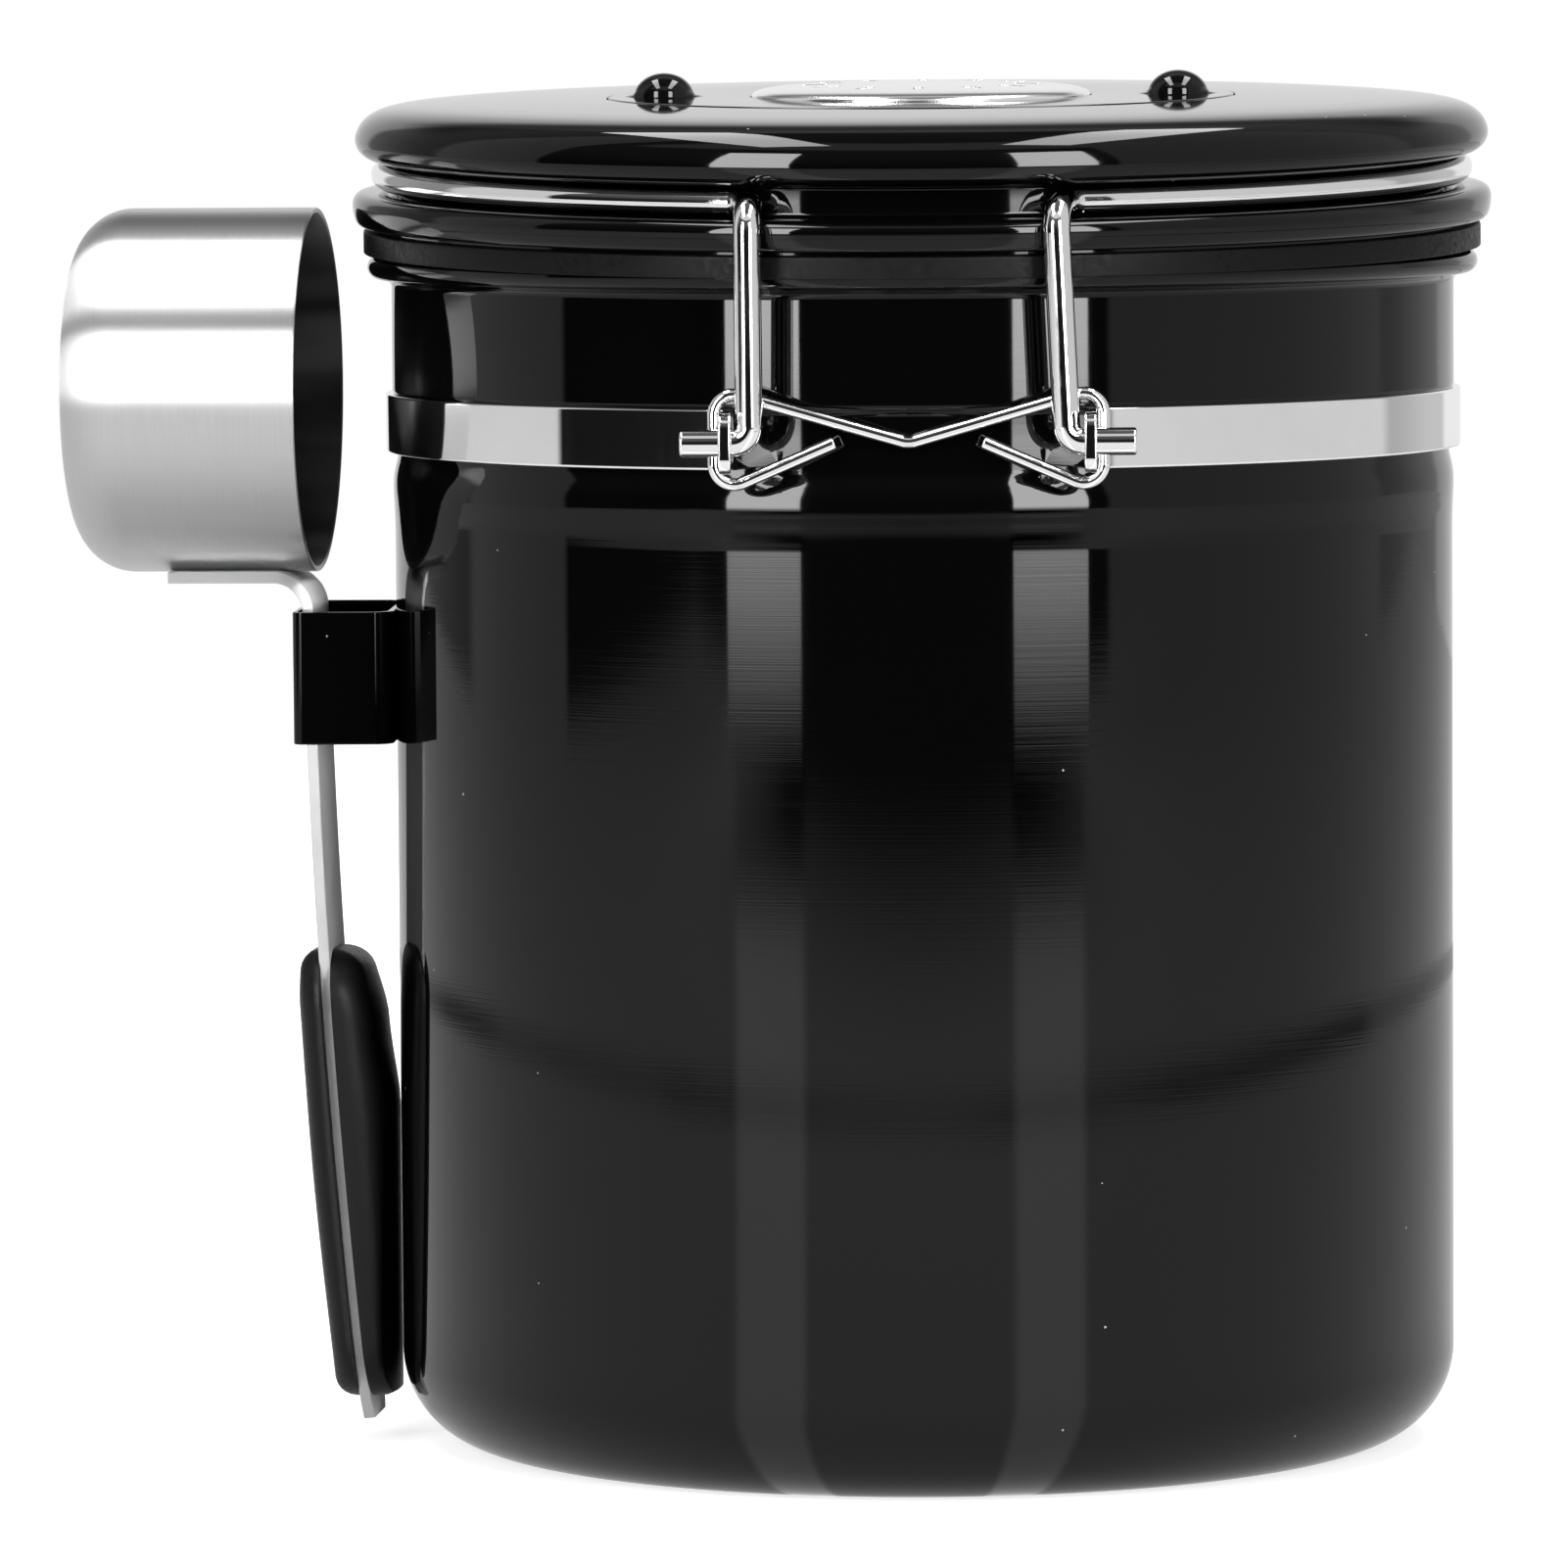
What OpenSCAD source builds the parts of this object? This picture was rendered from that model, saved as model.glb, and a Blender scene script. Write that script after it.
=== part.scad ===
// Coffee canister with a wire-hinged lid, a one-way valve and a hanging scoop.
// Millimetres. The origin is the middle of the base on the surface it stands on.
// +Z is up, -Y is the hinge side, +Y the latch side and -X the scoop side.

/* [Can] */
// Outer radius of the can's wall
body_r = 60; // [50:1:70]
// Height of the can to the top of its rolled rim
body_h = 135.4; // [120:0.2:160]
// Thickness of the can's sheet
body_wall = 0.8; // [0.6:0.1:1.2]
// Radius of the corner between wall and base
base_corner = 11; // [8:0.5:14]
// How far the middle of the base is pressed up
base_recess = 1.2; // [0.8:0.1:2]
// How much the neck above the band stands out past the wall
neck_swell = 0.2; // [0:0.05:0.4]
// How much the rolled rim stands out past the wall
rim_swell = 2.9; // [2:0.1:3.2]
// Height of the rolled rim
rim_h = 2.6; // [2:0.1:3]

/* [Band] */
// How far the middle of the band, with both pivots in its ears, lies below the rim's top
band_drop = 18.9; // [16:0.1:24]
// Height of the band's strap
band_h = 6.6; // [5:0.2:8]
// Thickness of the band's strap
band_t = 1.3; // [1:0.1:1.6]
// Depth of the groove that the band sits in
groove_depth = 0.4; // [0.2:0.05:0.6]
// Distance of each ear from the middle
ear_x = 19.66; // [18.8:0.1:21]
// How far the ears reach past the pivot in them
ear_reach = 3.2; // [2.8:0.1:4]

/* [Wire] */
// Diameter of the thick wire of lid and lever
wire_d = 3; // [2.6:0.1:3.2]
// Diameter of the thin wire of the tension clip
clip_d = 1.4; // [1:0.1:1.6]
// Diameter of the latch link's wire
link_d = 2.2; // [1.8:0.1:2.4]
// Radial clearance of a wire pin in its hole
pin_gap = 0.05; // [0.03:0.01:0.09]

/* [Hinge] */
// How far the hinge pins stand out from the can's wall
hinge_out = 4.6; // [4.4:0.1:6]
// Distance of each hinge leg from the middle
leg_x = 17.1; // [16:0.1:17.4]
// How far the feet reach past the middle of the ears
foot_past = 4.94; // [3.8:0.1:7]
// Angle at which the lid rests on its springy gasket
lid_ajar = 1.65; // [1.6:0.05:2.2]

/* [Lid] */
// How far the dome's edge stands out past the can's wall
dome_out = 4.1; // [3.6:0.1:4.2]
// How far the flange below the wire stands out past the can's wall
flange_out = 4.5; // [4:0.1:4.6]
// Thickness of the lid's shell
lid_wall = 1.3; // [1:0.1:1.6]
// How far the wire ring's centre line stands out past the can's wall
ring_out = 0.8; // [0.4:0.1:1]
// Height of the lid's top above the can's rim
lid_top = 15.7; // [15.2:0.1:17]
// Thickness of the gasket's outer lip
lip_t = 0.27; // [0.2:0.01:0.5]
// How far the gasket's outer lip hangs below the rim's top
lip_drop = 1.5; // [1:0.1:2]

/* [Dial and valve] */
// Outer radius of the date dial
dial_r = 35.4; // [32:0.2:38]
// Distance of the finger nubs from the middle
nub_at = 29.1; // [26:0.1:30.5]
// Radius of a finger nub
nub_r = 3.05; // [2.4:0.05:3.5]
// Radius of the polished vent disc
disc_r = 19.2; // [18:0.1:21]
// Outer radius of the valve's tube
tube_r = 9.5; // [8.5:0.1:10.5]
// Number of vent slots in the disc
vent_count = 12; // [6:1:16]
// Width of a vent slot
vent_w = 1.1; // [0.8:0.1:1.6]
// Length of a vent slot
vent_len = 3.2; // [2:0.1:4]
// Number of gas holes in the valve's seat
gas_holes = 6; // [4:1:8]

/* [Latch] */
// How far the lever's pivot stands out from the can's wall
latch_out = 6; // [5.6:0.1:7]
// Distance of each lever arm from the middle
lever_x = 17; // [16.4:0.1:17.3]
// How far the lever's finger bar hangs below its pivot
lever_drop = 34.5; // [30:0.5:38]
// Distance of each link wire from the middle
link_x = 13.3; // [12.4:0.1:13.4]

/* [Scoop] */
// Outer radius of the scoop's bowl
bowl_r = 20.7; // [18:0.1:22]
// Length of the bowl
bowl_len = 27.4; // [22:0.2:32]
// Thickness of the bowl's sheet
bowl_wall = 0.6; // [0.5:0.1:1]
// How far the bar under the bowl stands above the bracket
bar_rise = 4.25; // [4:0.05:8]
// Gap between the bowl's mouth and the lid's flange
mouth_gap = 4.3; // [4:0.1:7]
// Width of the handle's strip
strip_w = 13; // [11:0.5:15]
// Thickness of the handle's strip
strip_t = 1.3; // [1:0.1:1.6]
// Distance of the handle's strip from the can's wall
bar_out = 9.4; // [9.3:0.05:9.8]
// How far the strip bows towards the can over its length
strip_bow = 2.66; // [2:0.02:2.8]
// Angle that the scoop is turned towards the hinge side
scoop_turn = 3.3; // [0:0.1:4]
// Length of the grip
grip_len = 51.3; // [44:0.5:54]
// Width of the grip
grip_w = 17; // [15:0.5:19]

/* [Scoop bracket] */
// How far the bracket's top edge lies below the can's rim
bracket_drop = 40.1; // [38:0.1:46]
// Height of the bracket
bracket_h = 15; // [12:0.5:18]
// How far the bracket reaches from the can's wall
bracket_out = 11.1; // [11:0.1:12]
// Width of the bracket
bracket_w = 24; // [20:0.5:28]
// Thickness of the bracket's sheet
bracket_t = 0.6; // [0.5:0.1:1]

/* [Hidden] */
$fn = 96;

// Gap between faces that touch without being a running fit
seat_gap = 0.02;
// How much thinner a bend is than straight wire, and how far it laps into it
bend_thin = 0.03;
bend_lap = 0.1;
wire_r = wire_d / 2;
clip_r = clip_d / 2;
link_r = link_d / 2;

// Can
neck_r = body_r + neck_swell;
rim_r = body_r + rim_swell;
groove_r = body_r - groove_depth;
foot_ring = 3;
base_slope = 1.5;
rim_corner = 1.15;
rim_neck = 0.4;
arc_steps = 10;

// Band, and how far its groove stays flat, eases and runs out past it
band_z = body_h - band_drop;
band_in = groove_r + seat_gap;
band_out = band_in + band_t;
groove_flat = band_h / 2 + 0.6;
groove_ease = band_h / 2 + 2.6;
groove_run = band_h / 2 + 4.7;
ease_in = 0.1;
ear_corner = 1.6;
ear_trim = 0.1;
ear_root = 0.1;
hinge_y = body_r + hinge_out;
foot_x = ear_x + foot_past;
foot_bend = 1.8;
leg_bend = 2.6;
ring_bend = 3;
clip_gap = 0.6;
clip_end = 8;
clip_drop = 5.75;
clip_rise = 16;
clip_lift = 0.2;
clip_bend = 2.2;
clip_vee = 2.6;
hole_r = wire_r + pin_gap;

// Lid, with its radii from the can's wall and its heights from the can's rim
lid_r = body_r + dome_out;
flange_r = body_r + flange_out;
ring_r = body_r + ring_out;
lip_gap = 0.08;
gasket_r = rim_r + lip_gap + lip_t;
seat_z = body_h + 0.05;
gasket_t = 0.85;
sheet_t = 0.7;
liner_flange_z = seat_z + gasket_t;
flange_z = liner_flange_z + sheet_t;
wire_z = seat_z + 7.15;
groove_low = wire_z - wire_r - 0.25;
groove_high = wire_z + wire_r + 0.2;
groove_in = ring_r - wire_r - pin_gap;
dome_turn = 2.3;
dome_edge = 4.2;
dome_fall = 0.65;
crown_fall = 0.08;
crown_flat = 8;
flange_corner = 1.4;
dome_z = groove_high + dome_turn;
top_z = body_h + lid_top;
tube_gap = 0.04;
plug_gap = 4.7;
plug_corner = 1.5;
plug_r = body_r - body_wall - plug_gap;
plug_z = seat_z - 2;
liner_edge = gasket_r - 1.05;

// Dial and valve
dial_t = 1.3;
dial_gap = 0.2;
dial_lift = 0.05;
dial_edge = 0.3;
dial_step = 0.7;
recess_z = top_z - dial_t - dial_lift;
recess_r = dial_r + dial_gap;
nub_sink = 0.5;
nub_base = 5.2;
nub_side = 7;
nub_base_t = 0.9;
boss_r = 15.4;
disc_t = 0.6;
disc_rise = 1.5;
vent_ring = 12;
hub_t = 1;
bore_r = 7.6;
seat_plate_z = recess_z - 3;
seat_plate_t = 1.2;
gas_ring = 4.6;
gas_hole_r = 1;
stem_r = 1.2;
stem_gap = 0.1;
flap_r = 6.6;
flap_t = 0.8;
nut_r = 13.5;
nut_h = 3;
nut_floor = 1.2;
grille_t = 1;
grille_slots = 6;
nut_flutes = 24;
tube_lip = 0.4;
thread_gap = 0.08;
filter_t = 0.5;

// Latch
latch_y = body_r + latch_out;
lever_low = band_z - lever_drop;
pivot_drop = 7;
pivot_in = 1.1;
link_y = latch_y - pivot_in;
link_z = band_z - pivot_drop;
eye_r = 2.9;
eye_t = 2.4;
eye_grip = 1.5;
lever_flare = 5;
lever_knee = 12;
knee_bend = 10;
toe_bend = 6;
foot_out = 3.4;
plate_t = 1;
plate_x = 23;
plate_root = 0.3;
// Where the link's bar lies in the lid's groove, with the lid at rest
hook_y = ring_r + wire_r + link_r + 0.15;
hook_z = groove_low + link_r + 0.1;
hook_dy = hook_y + hinge_y;
hook_dz = hook_z - band_z;
hooked_y = hook_dy * cos(lid_ajar) - hook_dz * sin(lid_ajar) - hinge_y;
hooked_z = hook_dy * sin(lid_ajar) + hook_dz * cos(lid_ajar) + band_z;
link_reach = norm([hooked_y - link_y, hooked_z - link_z]);
hook_bend = 0.95;
hook_len = 3;
hook_corner = 1.6;
kink_bend = 4;
pin_past = 0.9;
bar_gap = 0.1;
bar_at = [lever_flare, link_z - lever_low];
drape = atan(bar_at[0] / bar_at[1]) + asin((wire_r + link_r + bar_gap) / norm(bar_at));

// Scoop, with the bowl welded a little way into the bar under it
bowl_corner = 6.5;
bowl_belly = 0.2;
mouth_x = -(flange_r + mouth_gap);
bracket_top = body_h - bracket_drop;
bar_top = bracket_top + bar_rise;
weld_lap = 0.25;
bowl_z = bar_top - weld_lap + bowl_r;
bend_r = 3.3;
bend_z = bar_top - strip_t - bend_r;
bar_x = -(body_r + bar_out);
bar_end_z = 3.3;
strip_len = bend_z - bar_end_z;
weld_len = 12;
lean_top = 2;
grip_low = bar_end_z + 2.7;
grip_top = grip_low + grip_len;
grip_corner = 6;
outer_thick = 2.8;
inner_thick = 5.75;
grip_crown = 26;
grip_lean = 4;
grip_clear = 0.35;
peg_r = 1.5;
peg_gap = 0.05;
peg_in = 13;
peg_z = [grip_low + peg_in, grip_top - peg_in];
bend_rise = 88;

// Bracket
bracket_sink = 0.25;
bracket_front = 1.2;
bracket_back = 2.6;

// How far a cutter reaches past what it cuts
over = 1;

// A point of a straight line
function along(a, b, s) = a + (b - a) * s;

function unit(v) = v / norm(v);

// Points on an arc in a profile, from angle a to angle b
function arc(cr, cz, r, a, b, n = arc_steps) =
    [for (i = [0 : n]) [cr + r * cos(a + (b - a) * i / n), cz + r * sin(a + (b - a) * i / n)]];

// The same point on the other side of the middle
function flip(p) = [-p[0], p[1], p[2]];

function reversed(list) = [for (i = [len(list) - 1 : -1 : 0]) list[i]];

// Places a child whose own X, Y and Z axes point along x, y and z
module placed(x, y, z, at)
{
    multmatrix([
        [x[0], y[0], z[0], at[0]],
        [x[1], y[1], z[1], at[1]],
        [x[2], y[2], z[2], at[2]],
        [0, 0, 0, 1],
    ])
        children();
}

// A straight piece of round wire from a to b
module rod(a, b, r)
{
    z = unit(b - a);
    side = abs(z[2]) < 0.9 ? [0, 0, 1] : [1, 0, 0];
    x = unit(cross(side, z));
    placed(x, cross(z, x), z, a)
        cylinder(r = r, h = norm(b - a), $fn = 32);
}

// A round bend of wire that starts at a, heads along d and turns towards e.
// It is drawn a hair thinner than the straight wire and begins and ends inside it.
module elbow(a, d, e, bend, r)
{
    lap = bend_lap / bend * 180 / PI;
    turn = acos(d * e);
    z = unit(cross(d, e));
    inward = cross(z, d);
    placed(-inward, d, z, a + bend * inward)
        rotate([0, 0, -lap])
            rotate_extrude(angle = turn + 2 * lap, $fn = 64)
                translate([bend, 0])
                    circle(r = r - bend_thin, $fn = 32);
}

// How much of the straight wire a bend takes up on each side of its corner
function setback(a, b, c, bend) = bend * tan(acos(unit(b - a) * unit(c - b)) / 2);

// Round wire along a path, with a bend radius for each inner corner
module wire(path, bends, r)
{
    last = len(path) - 1;
    trims = [
        for (i = [0 : last])
            i == 0 || i == last ? 0 : setback(path[i - 1], path[i], path[i + 1], bends[i - 1])
    ];
    for (i = [0 : last - 1]) {
        d = unit(path[i + 1] - path[i]);
        rod(path[i] + d * trims[i], path[i + 1] - d * trims[i + 1], r);
    }
    for (i = [1 : 1 : last - 1]) {
        d = unit(path[i] - path[i - 1]);
        e = unit(path[i + 1] - path[i]);
        elbow(path[i] - d * trims[i], d, e, bends[i - 1], r);
    }
}

// The same child on both sides of the middle
module both_sides()
{
    children();
    mirror([1, 0, 0])
        children();
}

// Moves the lid's pieces from level to where they rest, turned about the hinge pins
module on_lid()
{
    translate([0, -hinge_y, band_z])
        rotate([lid_ajar, 0, 0])
            translate([0, hinge_y, -band_z])
                children();
}

// Turns the scoop's pieces about its handle
module on_scoop()
{
    translate([bar_x, 0, 0])
        rotate([0, 0, -scoop_turn])
            translate([-bar_x, 0, 0])
                children();
}

// Outline of the can's wall, drawn in by an inset
function can_outline(inset) = concat(
    [[0, base_recess + inset]],
    [[body_r - base_corner - foot_ring - base_slope, base_recess + inset]],
    [[body_r - base_corner - foot_ring, inset]],
    arc(body_r - base_corner, base_corner, base_corner - inset, -90, 0),
    [[body_r - inset, band_z - groove_run]],
    [[body_r - ease_in - inset, band_z - groove_ease]],
    [[groove_r - inset, band_z - groove_flat]],
    [[groove_r - inset, band_z + groove_flat]],
    [[neck_r - ease_in - inset, band_z + groove_ease]],
    [[neck_r - inset, band_z + groove_run]]
);

module can_body()
{
    c = rim_corner;
    color([0.05, 0.05, 0.055])
        rotate_extrude($fn = 180)
            polygon(concat(
                can_outline(0),
                [[neck_r, body_h - rim_h - rim_neck], [neck_r + rim_neck, body_h - rim_h]],
                arc(rim_r - c, body_h - rim_h + c, c, -90, 0, 6),
                arc(rim_r - c, body_h - c, c, 0, 90, 6),
                arc(neck_r - body_wall + c, body_h - c, c, 90, 180, 6),
                reversed(can_outline(body_wall))
            ));
}

// An ear in the plane across X, from the can's side out past its pivot hole
module ear(x, from_y, pivot_y)
{
    end = pivot_y + ear_reach;
    ear_h = band_h - ear_trim;
    translate([x - band_t / 2, 0, band_z])
        rotate([90, 0, 90])
            linear_extrude(band_t)
                difference() {
                    union() {
                        translate([from_y, -ear_h / 2])
                            square([end - ear_corner - from_y, ear_h]);
                        translate([from_y, -ear_h / 2 + ear_corner])
                            square([end - from_y, ear_h - 2 * ear_corner]);
                        for (z = [-1, 1])
                            translate([end - ear_corner, z * (ear_h / 2 - ear_corner)])
                                circle(r = ear_corner, $fn = 32);
                    }
                    translate([pivot_y, 0])
                        circle(r = hole_r, $fn = 48);
                }
}

module clamp_band()
{
    gap_angle = asin(ear_x / band_out);
    root_y = sqrt(pow(band_in, 2) - pow(ear_x, 2)) + ear_root;
    color([0.78, 0.79, 0.8])
        union() {
            translate([0, 0, band_z - band_h / 2])
                rotate([0, 0, -90 + gap_angle])
                    rotate_extrude(angle = 360 - 2 * gap_angle, $fn = 180)
                        translate([band_in, 0])
                            square([band_t, band_h]);
            both_sides()
                mirror([0, 1, 0])
                    ear(ear_x, root_y, hinge_y);
        }
}

// The clip lies in a plane just behind the hinge feet
module tension_clip()
{
    y = -(hinge_y - wire_r - clip_r - clip_gap);
    out = ear_x + band_t / 2 + clip_r + seat_gap;
    foot = [clip_end, y, band_z - clip_lift];
    low = [out, y, band_z - clip_drop];
    high = [out, y, band_z + out * tan(clip_rise) - clip_lift];
    middle = [0, y, band_z - clip_lift];
    color([0.85, 0.85, 0.87])
        wire(
            [foot, low, high, middle, flip(high), flip(low), flip(foot)],
            [clip_bend, clip_bend, clip_vee, clip_bend, clip_bend],
            clip_r
        );
}

// A flat plate outline with round corners, given by its size and corner radius
module rounded(w, h, r)
{
    square([w - 2 * r, h], center = true);
    square([w, h - 2 * r], center = true);
    for (x = [-1, 1])
        for (y = [-1, 1])
            translate([x * (w / 2 - r), y * (h / 2 - r)])
                circle(r = r, $fn = 48);
}

module scoop_bracket()
{
    back = body_r - bracket_sink;
    out = body_r + bracket_out;
    depth = out - back;
    half_w = bracket_w / 2;
    module sleeve_outline(inset)
    {
        translate([-out + bracket_front, -half_w + inset])
            square([depth - bracket_front - bracket_back, bracket_w - 2 * inset]);
        translate([-out + inset, -half_w + bracket_front])
            square([depth / 2, bracket_w - 2 * bracket_front]);
        translate([-back - depth / 2, -half_w + bracket_back])
            square([depth / 2 - inset, bracket_w - 2 * bracket_back]);
        for (side = [-1, 1]) {
            translate([-out + bracket_front, side * (half_w - bracket_front)])
                circle(r = bracket_front - inset, $fn = 32);
            translate([-back - bracket_back, side * (half_w - bracket_back)])
                circle(r = bracket_back - inset, $fn = 32);
        }
    }
    color([0.05, 0.05, 0.055])
        translate([0, 0, bracket_top - bracket_h])
            difference() {
                linear_extrude(bracket_h)
                    sleeve_outline(0);
                translate([0, 0, -over])
                    linear_extrude(bracket_h + 2 * over)
                        intersection() {
                            sleeve_outline(bracket_t);
                            translate([-body_r - depth - bracket_t - over, -bracket_w])
                                square([depth, bracket_w * 2]);
                        }
                translate([0, 0, -over])
                    cylinder(r = body_r + seat_gap, h = bracket_h + 2 * over, $fn = 180);
            }
}

module latch_bracket()
{
    plate_in = band_out + seat_gap;
    half_angle = asin(plate_x / plate_in);
    root_y = sqrt(pow(plate_in, 2) - pow(ear_x, 2)) + plate_root;
    color([0.78, 0.79, 0.8])
        union() {
            translate([0, 0, band_z - band_h / 2])
                rotate([0, 0, 90 - half_angle])
                    rotate_extrude(angle = 2 * half_angle, $fn = 180)
                        translate([plate_in, 0])
                            square([plate_t, band_h]);
            both_sides()
                ear(ear_x, root_y, latch_y);
        }
}

module latch_lever()
{
    tilt = unit([link_y - latch_y, link_z - band_z]);
    upper_end = [link_y, link_z] - eye_grip * tilt;
    bar_y = link_y + lever_flare;
    hang = [lever_x, link_y, link_z - eye_grip];
    knee = [lever_x, link_y, link_z - lever_knee];
    toe = [lever_x, bar_y, lever_low];
    color([0.85, 0.85, 0.87])
        difference() {
            union() {
                both_sides() {
                    wire(
                        [
                            [ear_x + foot_out, latch_y, band_z],
                            [lever_x, latch_y, band_z],
                            [lever_x, upper_end[0], upper_end[1]],
                        ],
                        [foot_bend],
                        wire_r
                    );
                    translate([lever_x - eye_t / 2, link_y, link_z])
                        rotate([0, 90, 0])
                            cylinder(r = eye_r, h = eye_t, $fn = 48);
                }
                wire(
                    [hang, knee, toe, flip(toe), flip(knee), flip(hang)],
                    [knee_bend, toe_bend, toe_bend, knee_bend],
                    wire_r
                );
            }
            both_sides()
                translate([lever_x - eye_t, link_y, link_z])
                    rotate([0, 90, 0])
                        cylinder(r = link_r + pin_gap, h = 2 * eye_t, $fn = 48);
        }
}

// The link hangs draped over the lever's finger bar until it is swung up to the lid
module latch_link()
{
    long = sqrt(pow(link_reach, 2) - pow(hook_bend, 2));
    pin_end = [lever_x + eye_t / 2 + pin_past, 0, 0];
    hip = [link_x, 0, 0];
    kink = [link_x, 0, hook_len - long];
    hook = [link_x, hook_bend, -long];
    color([0.85, 0.85, 0.87])
        translate([0, link_y, link_z])
            rotate([drape, 0, 0])
                wire(
                    [
                        pin_end, hip, kink, hook,
                        flip(hook), flip(kink), flip(hip), flip(pin_end),
                    ],
                    [
                        hook_corner, kink_bend, hook_corner,
                        hook_corner, kink_bend, hook_corner,
                    ],
                    link_r
                );
}

// Outline of the lid's outside, from the dial's recess down to the flange
function lid_outline() = concat(
    [[recess_r, recess_z], [recess_r, top_z], [recess_r + crown_flat, top_z - crown_fall]],
    [[lid_r - dome_edge - 0.8, top_z - dome_fall]],
    arc(lid_r - dome_edge, dome_z, dome_edge, 72, 0, 8),
    arc(lid_r - dome_turn, dome_z, dome_turn, -12, -80, 6),
    [[groove_in, groove_high]],
    [[groove_in, groove_low]],
    arc(flange_r - flange_corner, groove_low - flange_corner, flange_corner, 90, 0, 6),
    [[flange_r, flange_z + 2]],
    [[flange_r - 0.35, flange_z + 0.7], [flange_r - 1, flange_z]]
);

function lid_inside() = [
    [flange_r - 1 - lid_wall, flange_z],
    [flange_r - lid_wall - 0.2, flange_z + 1.6],
    [flange_r - lid_wall - 0.4, groove_low - lid_wall],
    [groove_in - lid_wall, groove_low - lid_wall],
    [groove_in - lid_wall, groove_high + lid_wall],
    [lid_r - lid_wall - 1, groove_high + lid_wall + 0.2],
    [lid_r - lid_wall, dome_z],
    [lid_r - lid_wall - 1.4, dome_z + 2.2],
    [lid_r - 6, top_z - dome_fall - lid_wall],
    [recess_r + lid_wall, top_z - 0.2 - lid_wall],
    [recess_r + lid_wall, recess_z - lid_wall],
    [tube_r + tube_gap, recess_z - lid_wall],
];

module lid_cover()
{
    color([0.05, 0.05, 0.055])
        on_lid()
            rotate_extrude($fn = 180)
                polygon(concat(
                    [[tube_r + tube_gap, recess_z]],
                    lid_outline(),
                    lid_inside()
                ));
}

module lid_liner()
{
    corner = plug_corner;
    edge = liner_edge;
    color([0.12, 0.12, 0.13])
        on_lid()
            rotate_extrude($fn = 180)
                polygon(concat(
                    [[tube_r + tube_gap, plug_z + sheet_t], [tube_r + tube_gap, plug_z]],
                    arc(plug_r - corner, plug_z + corner, corner, -90, 0, 6),
                    [[plug_r, liner_flange_z], [edge, liner_flange_z]],
                    [[edge, liner_flange_z + sheet_t - seat_gap]],
                    [[plug_r - sheet_t, liner_flange_z + sheet_t - seat_gap]],
                    [[plug_r - sheet_t, plug_z + corner]],
                    [[plug_r - corner, plug_z + sheet_t]]
                ));
}

module lid_gasket()
{
    top = liner_flange_z + sheet_t / 2;
    edge = liner_edge + seat_gap;
    color([0.07, 0.07, 0.07])
        on_lid()
            rotate_extrude($fn = 180)
                polygon([
                    [plug_r + seat_gap, seat_z],
                    [gasket_r - lip_t, seat_z],
                    [gasket_r - lip_t, seat_z - lip_drop],
                    [gasket_r, seat_z - lip_drop + 0.1],
                    [gasket_r, top - 0.25],
                    [gasket_r - 0.3, top],
                    [edge, top],
                    [edge, liner_flange_z - seat_gap],
                    [plug_r + seat_gap, liner_flange_z - seat_gap],
                ]);
}

module lid_wire()
{
    end_angle = asin((leg_x + ring_bend) / ring_r);
    ring_end = [ring_r * sin(end_angle), -ring_r * cos(end_angle), wire_z];
    run = (ring_end[0] - leg_x) / cos(end_angle);
    turn_out = ring_end - run * [cos(end_angle), sin(end_angle), 0];
    lap = bend_lap / ring_r * 180 / PI;
    color([0.85, 0.85, 0.87])
        on_lid() {
            translate([0, 0, wire_z])
                rotate([0, 0, -90 + end_angle - lap])
                    rotate_extrude(angle = 360 - 2 * (end_angle - lap), $fn = 180)
                        translate([ring_r, 0])
                            circle(r = wire_r - bend_thin, $fn = 32);
            both_sides()
                wire(
                    [
                        ring_end,
                        turn_out,
                        [leg_x, -hinge_y, wire_z],
                        [leg_x, -hinge_y, band_z],
                        [foot_x, -hinge_y, band_z],
                    ],
                    [ring_bend, leg_bend, foot_bend],
                    wire_r
                );
        }
}

// A finger nub with a low pointed base
module nub()
{
    half = nub_r + over;
    union() {
        intersection() {
            translate([0, 0, -nub_sink / 2])
                sphere(r = nub_r, $fn = 48);
            translate([-half, -half, -nub_sink])
                cube([2 * half, 2 * half, half]);
        }
        translate([0, 0, -nub_sink])
            linear_extrude(nub_base_t)
                intersection_for (side = [-1, 1])
                    translate([0, side * sqrt(pow(nub_side, 2) - pow(nub_base, 2))])
                        circle(r = nub_side, $fn = 64);
    }
}

module date_dial()
{
    low = recess_z + dial_lift;
    bore = boss_r + 0.5;
    seat = disc_r + 0.15;
    color([0.06, 0.06, 0.065])
        on_lid() {
            rotate_extrude($fn = 180)
                polygon([
                    [bore, low],
                    [dial_r, low],
                    [dial_r, low + dial_t - dial_edge],
                    [dial_r - dial_edge, low + dial_t],
                    [seat, low + dial_t],
                    [seat, low + dial_t - dial_step],
                    [bore, low + dial_t - dial_step],
                ]);
            for (side = [0, 180])
                rotate([0, 0, side])
                    translate([nub_at, 0, low + dial_t])
                        nub();
        }
}

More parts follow.
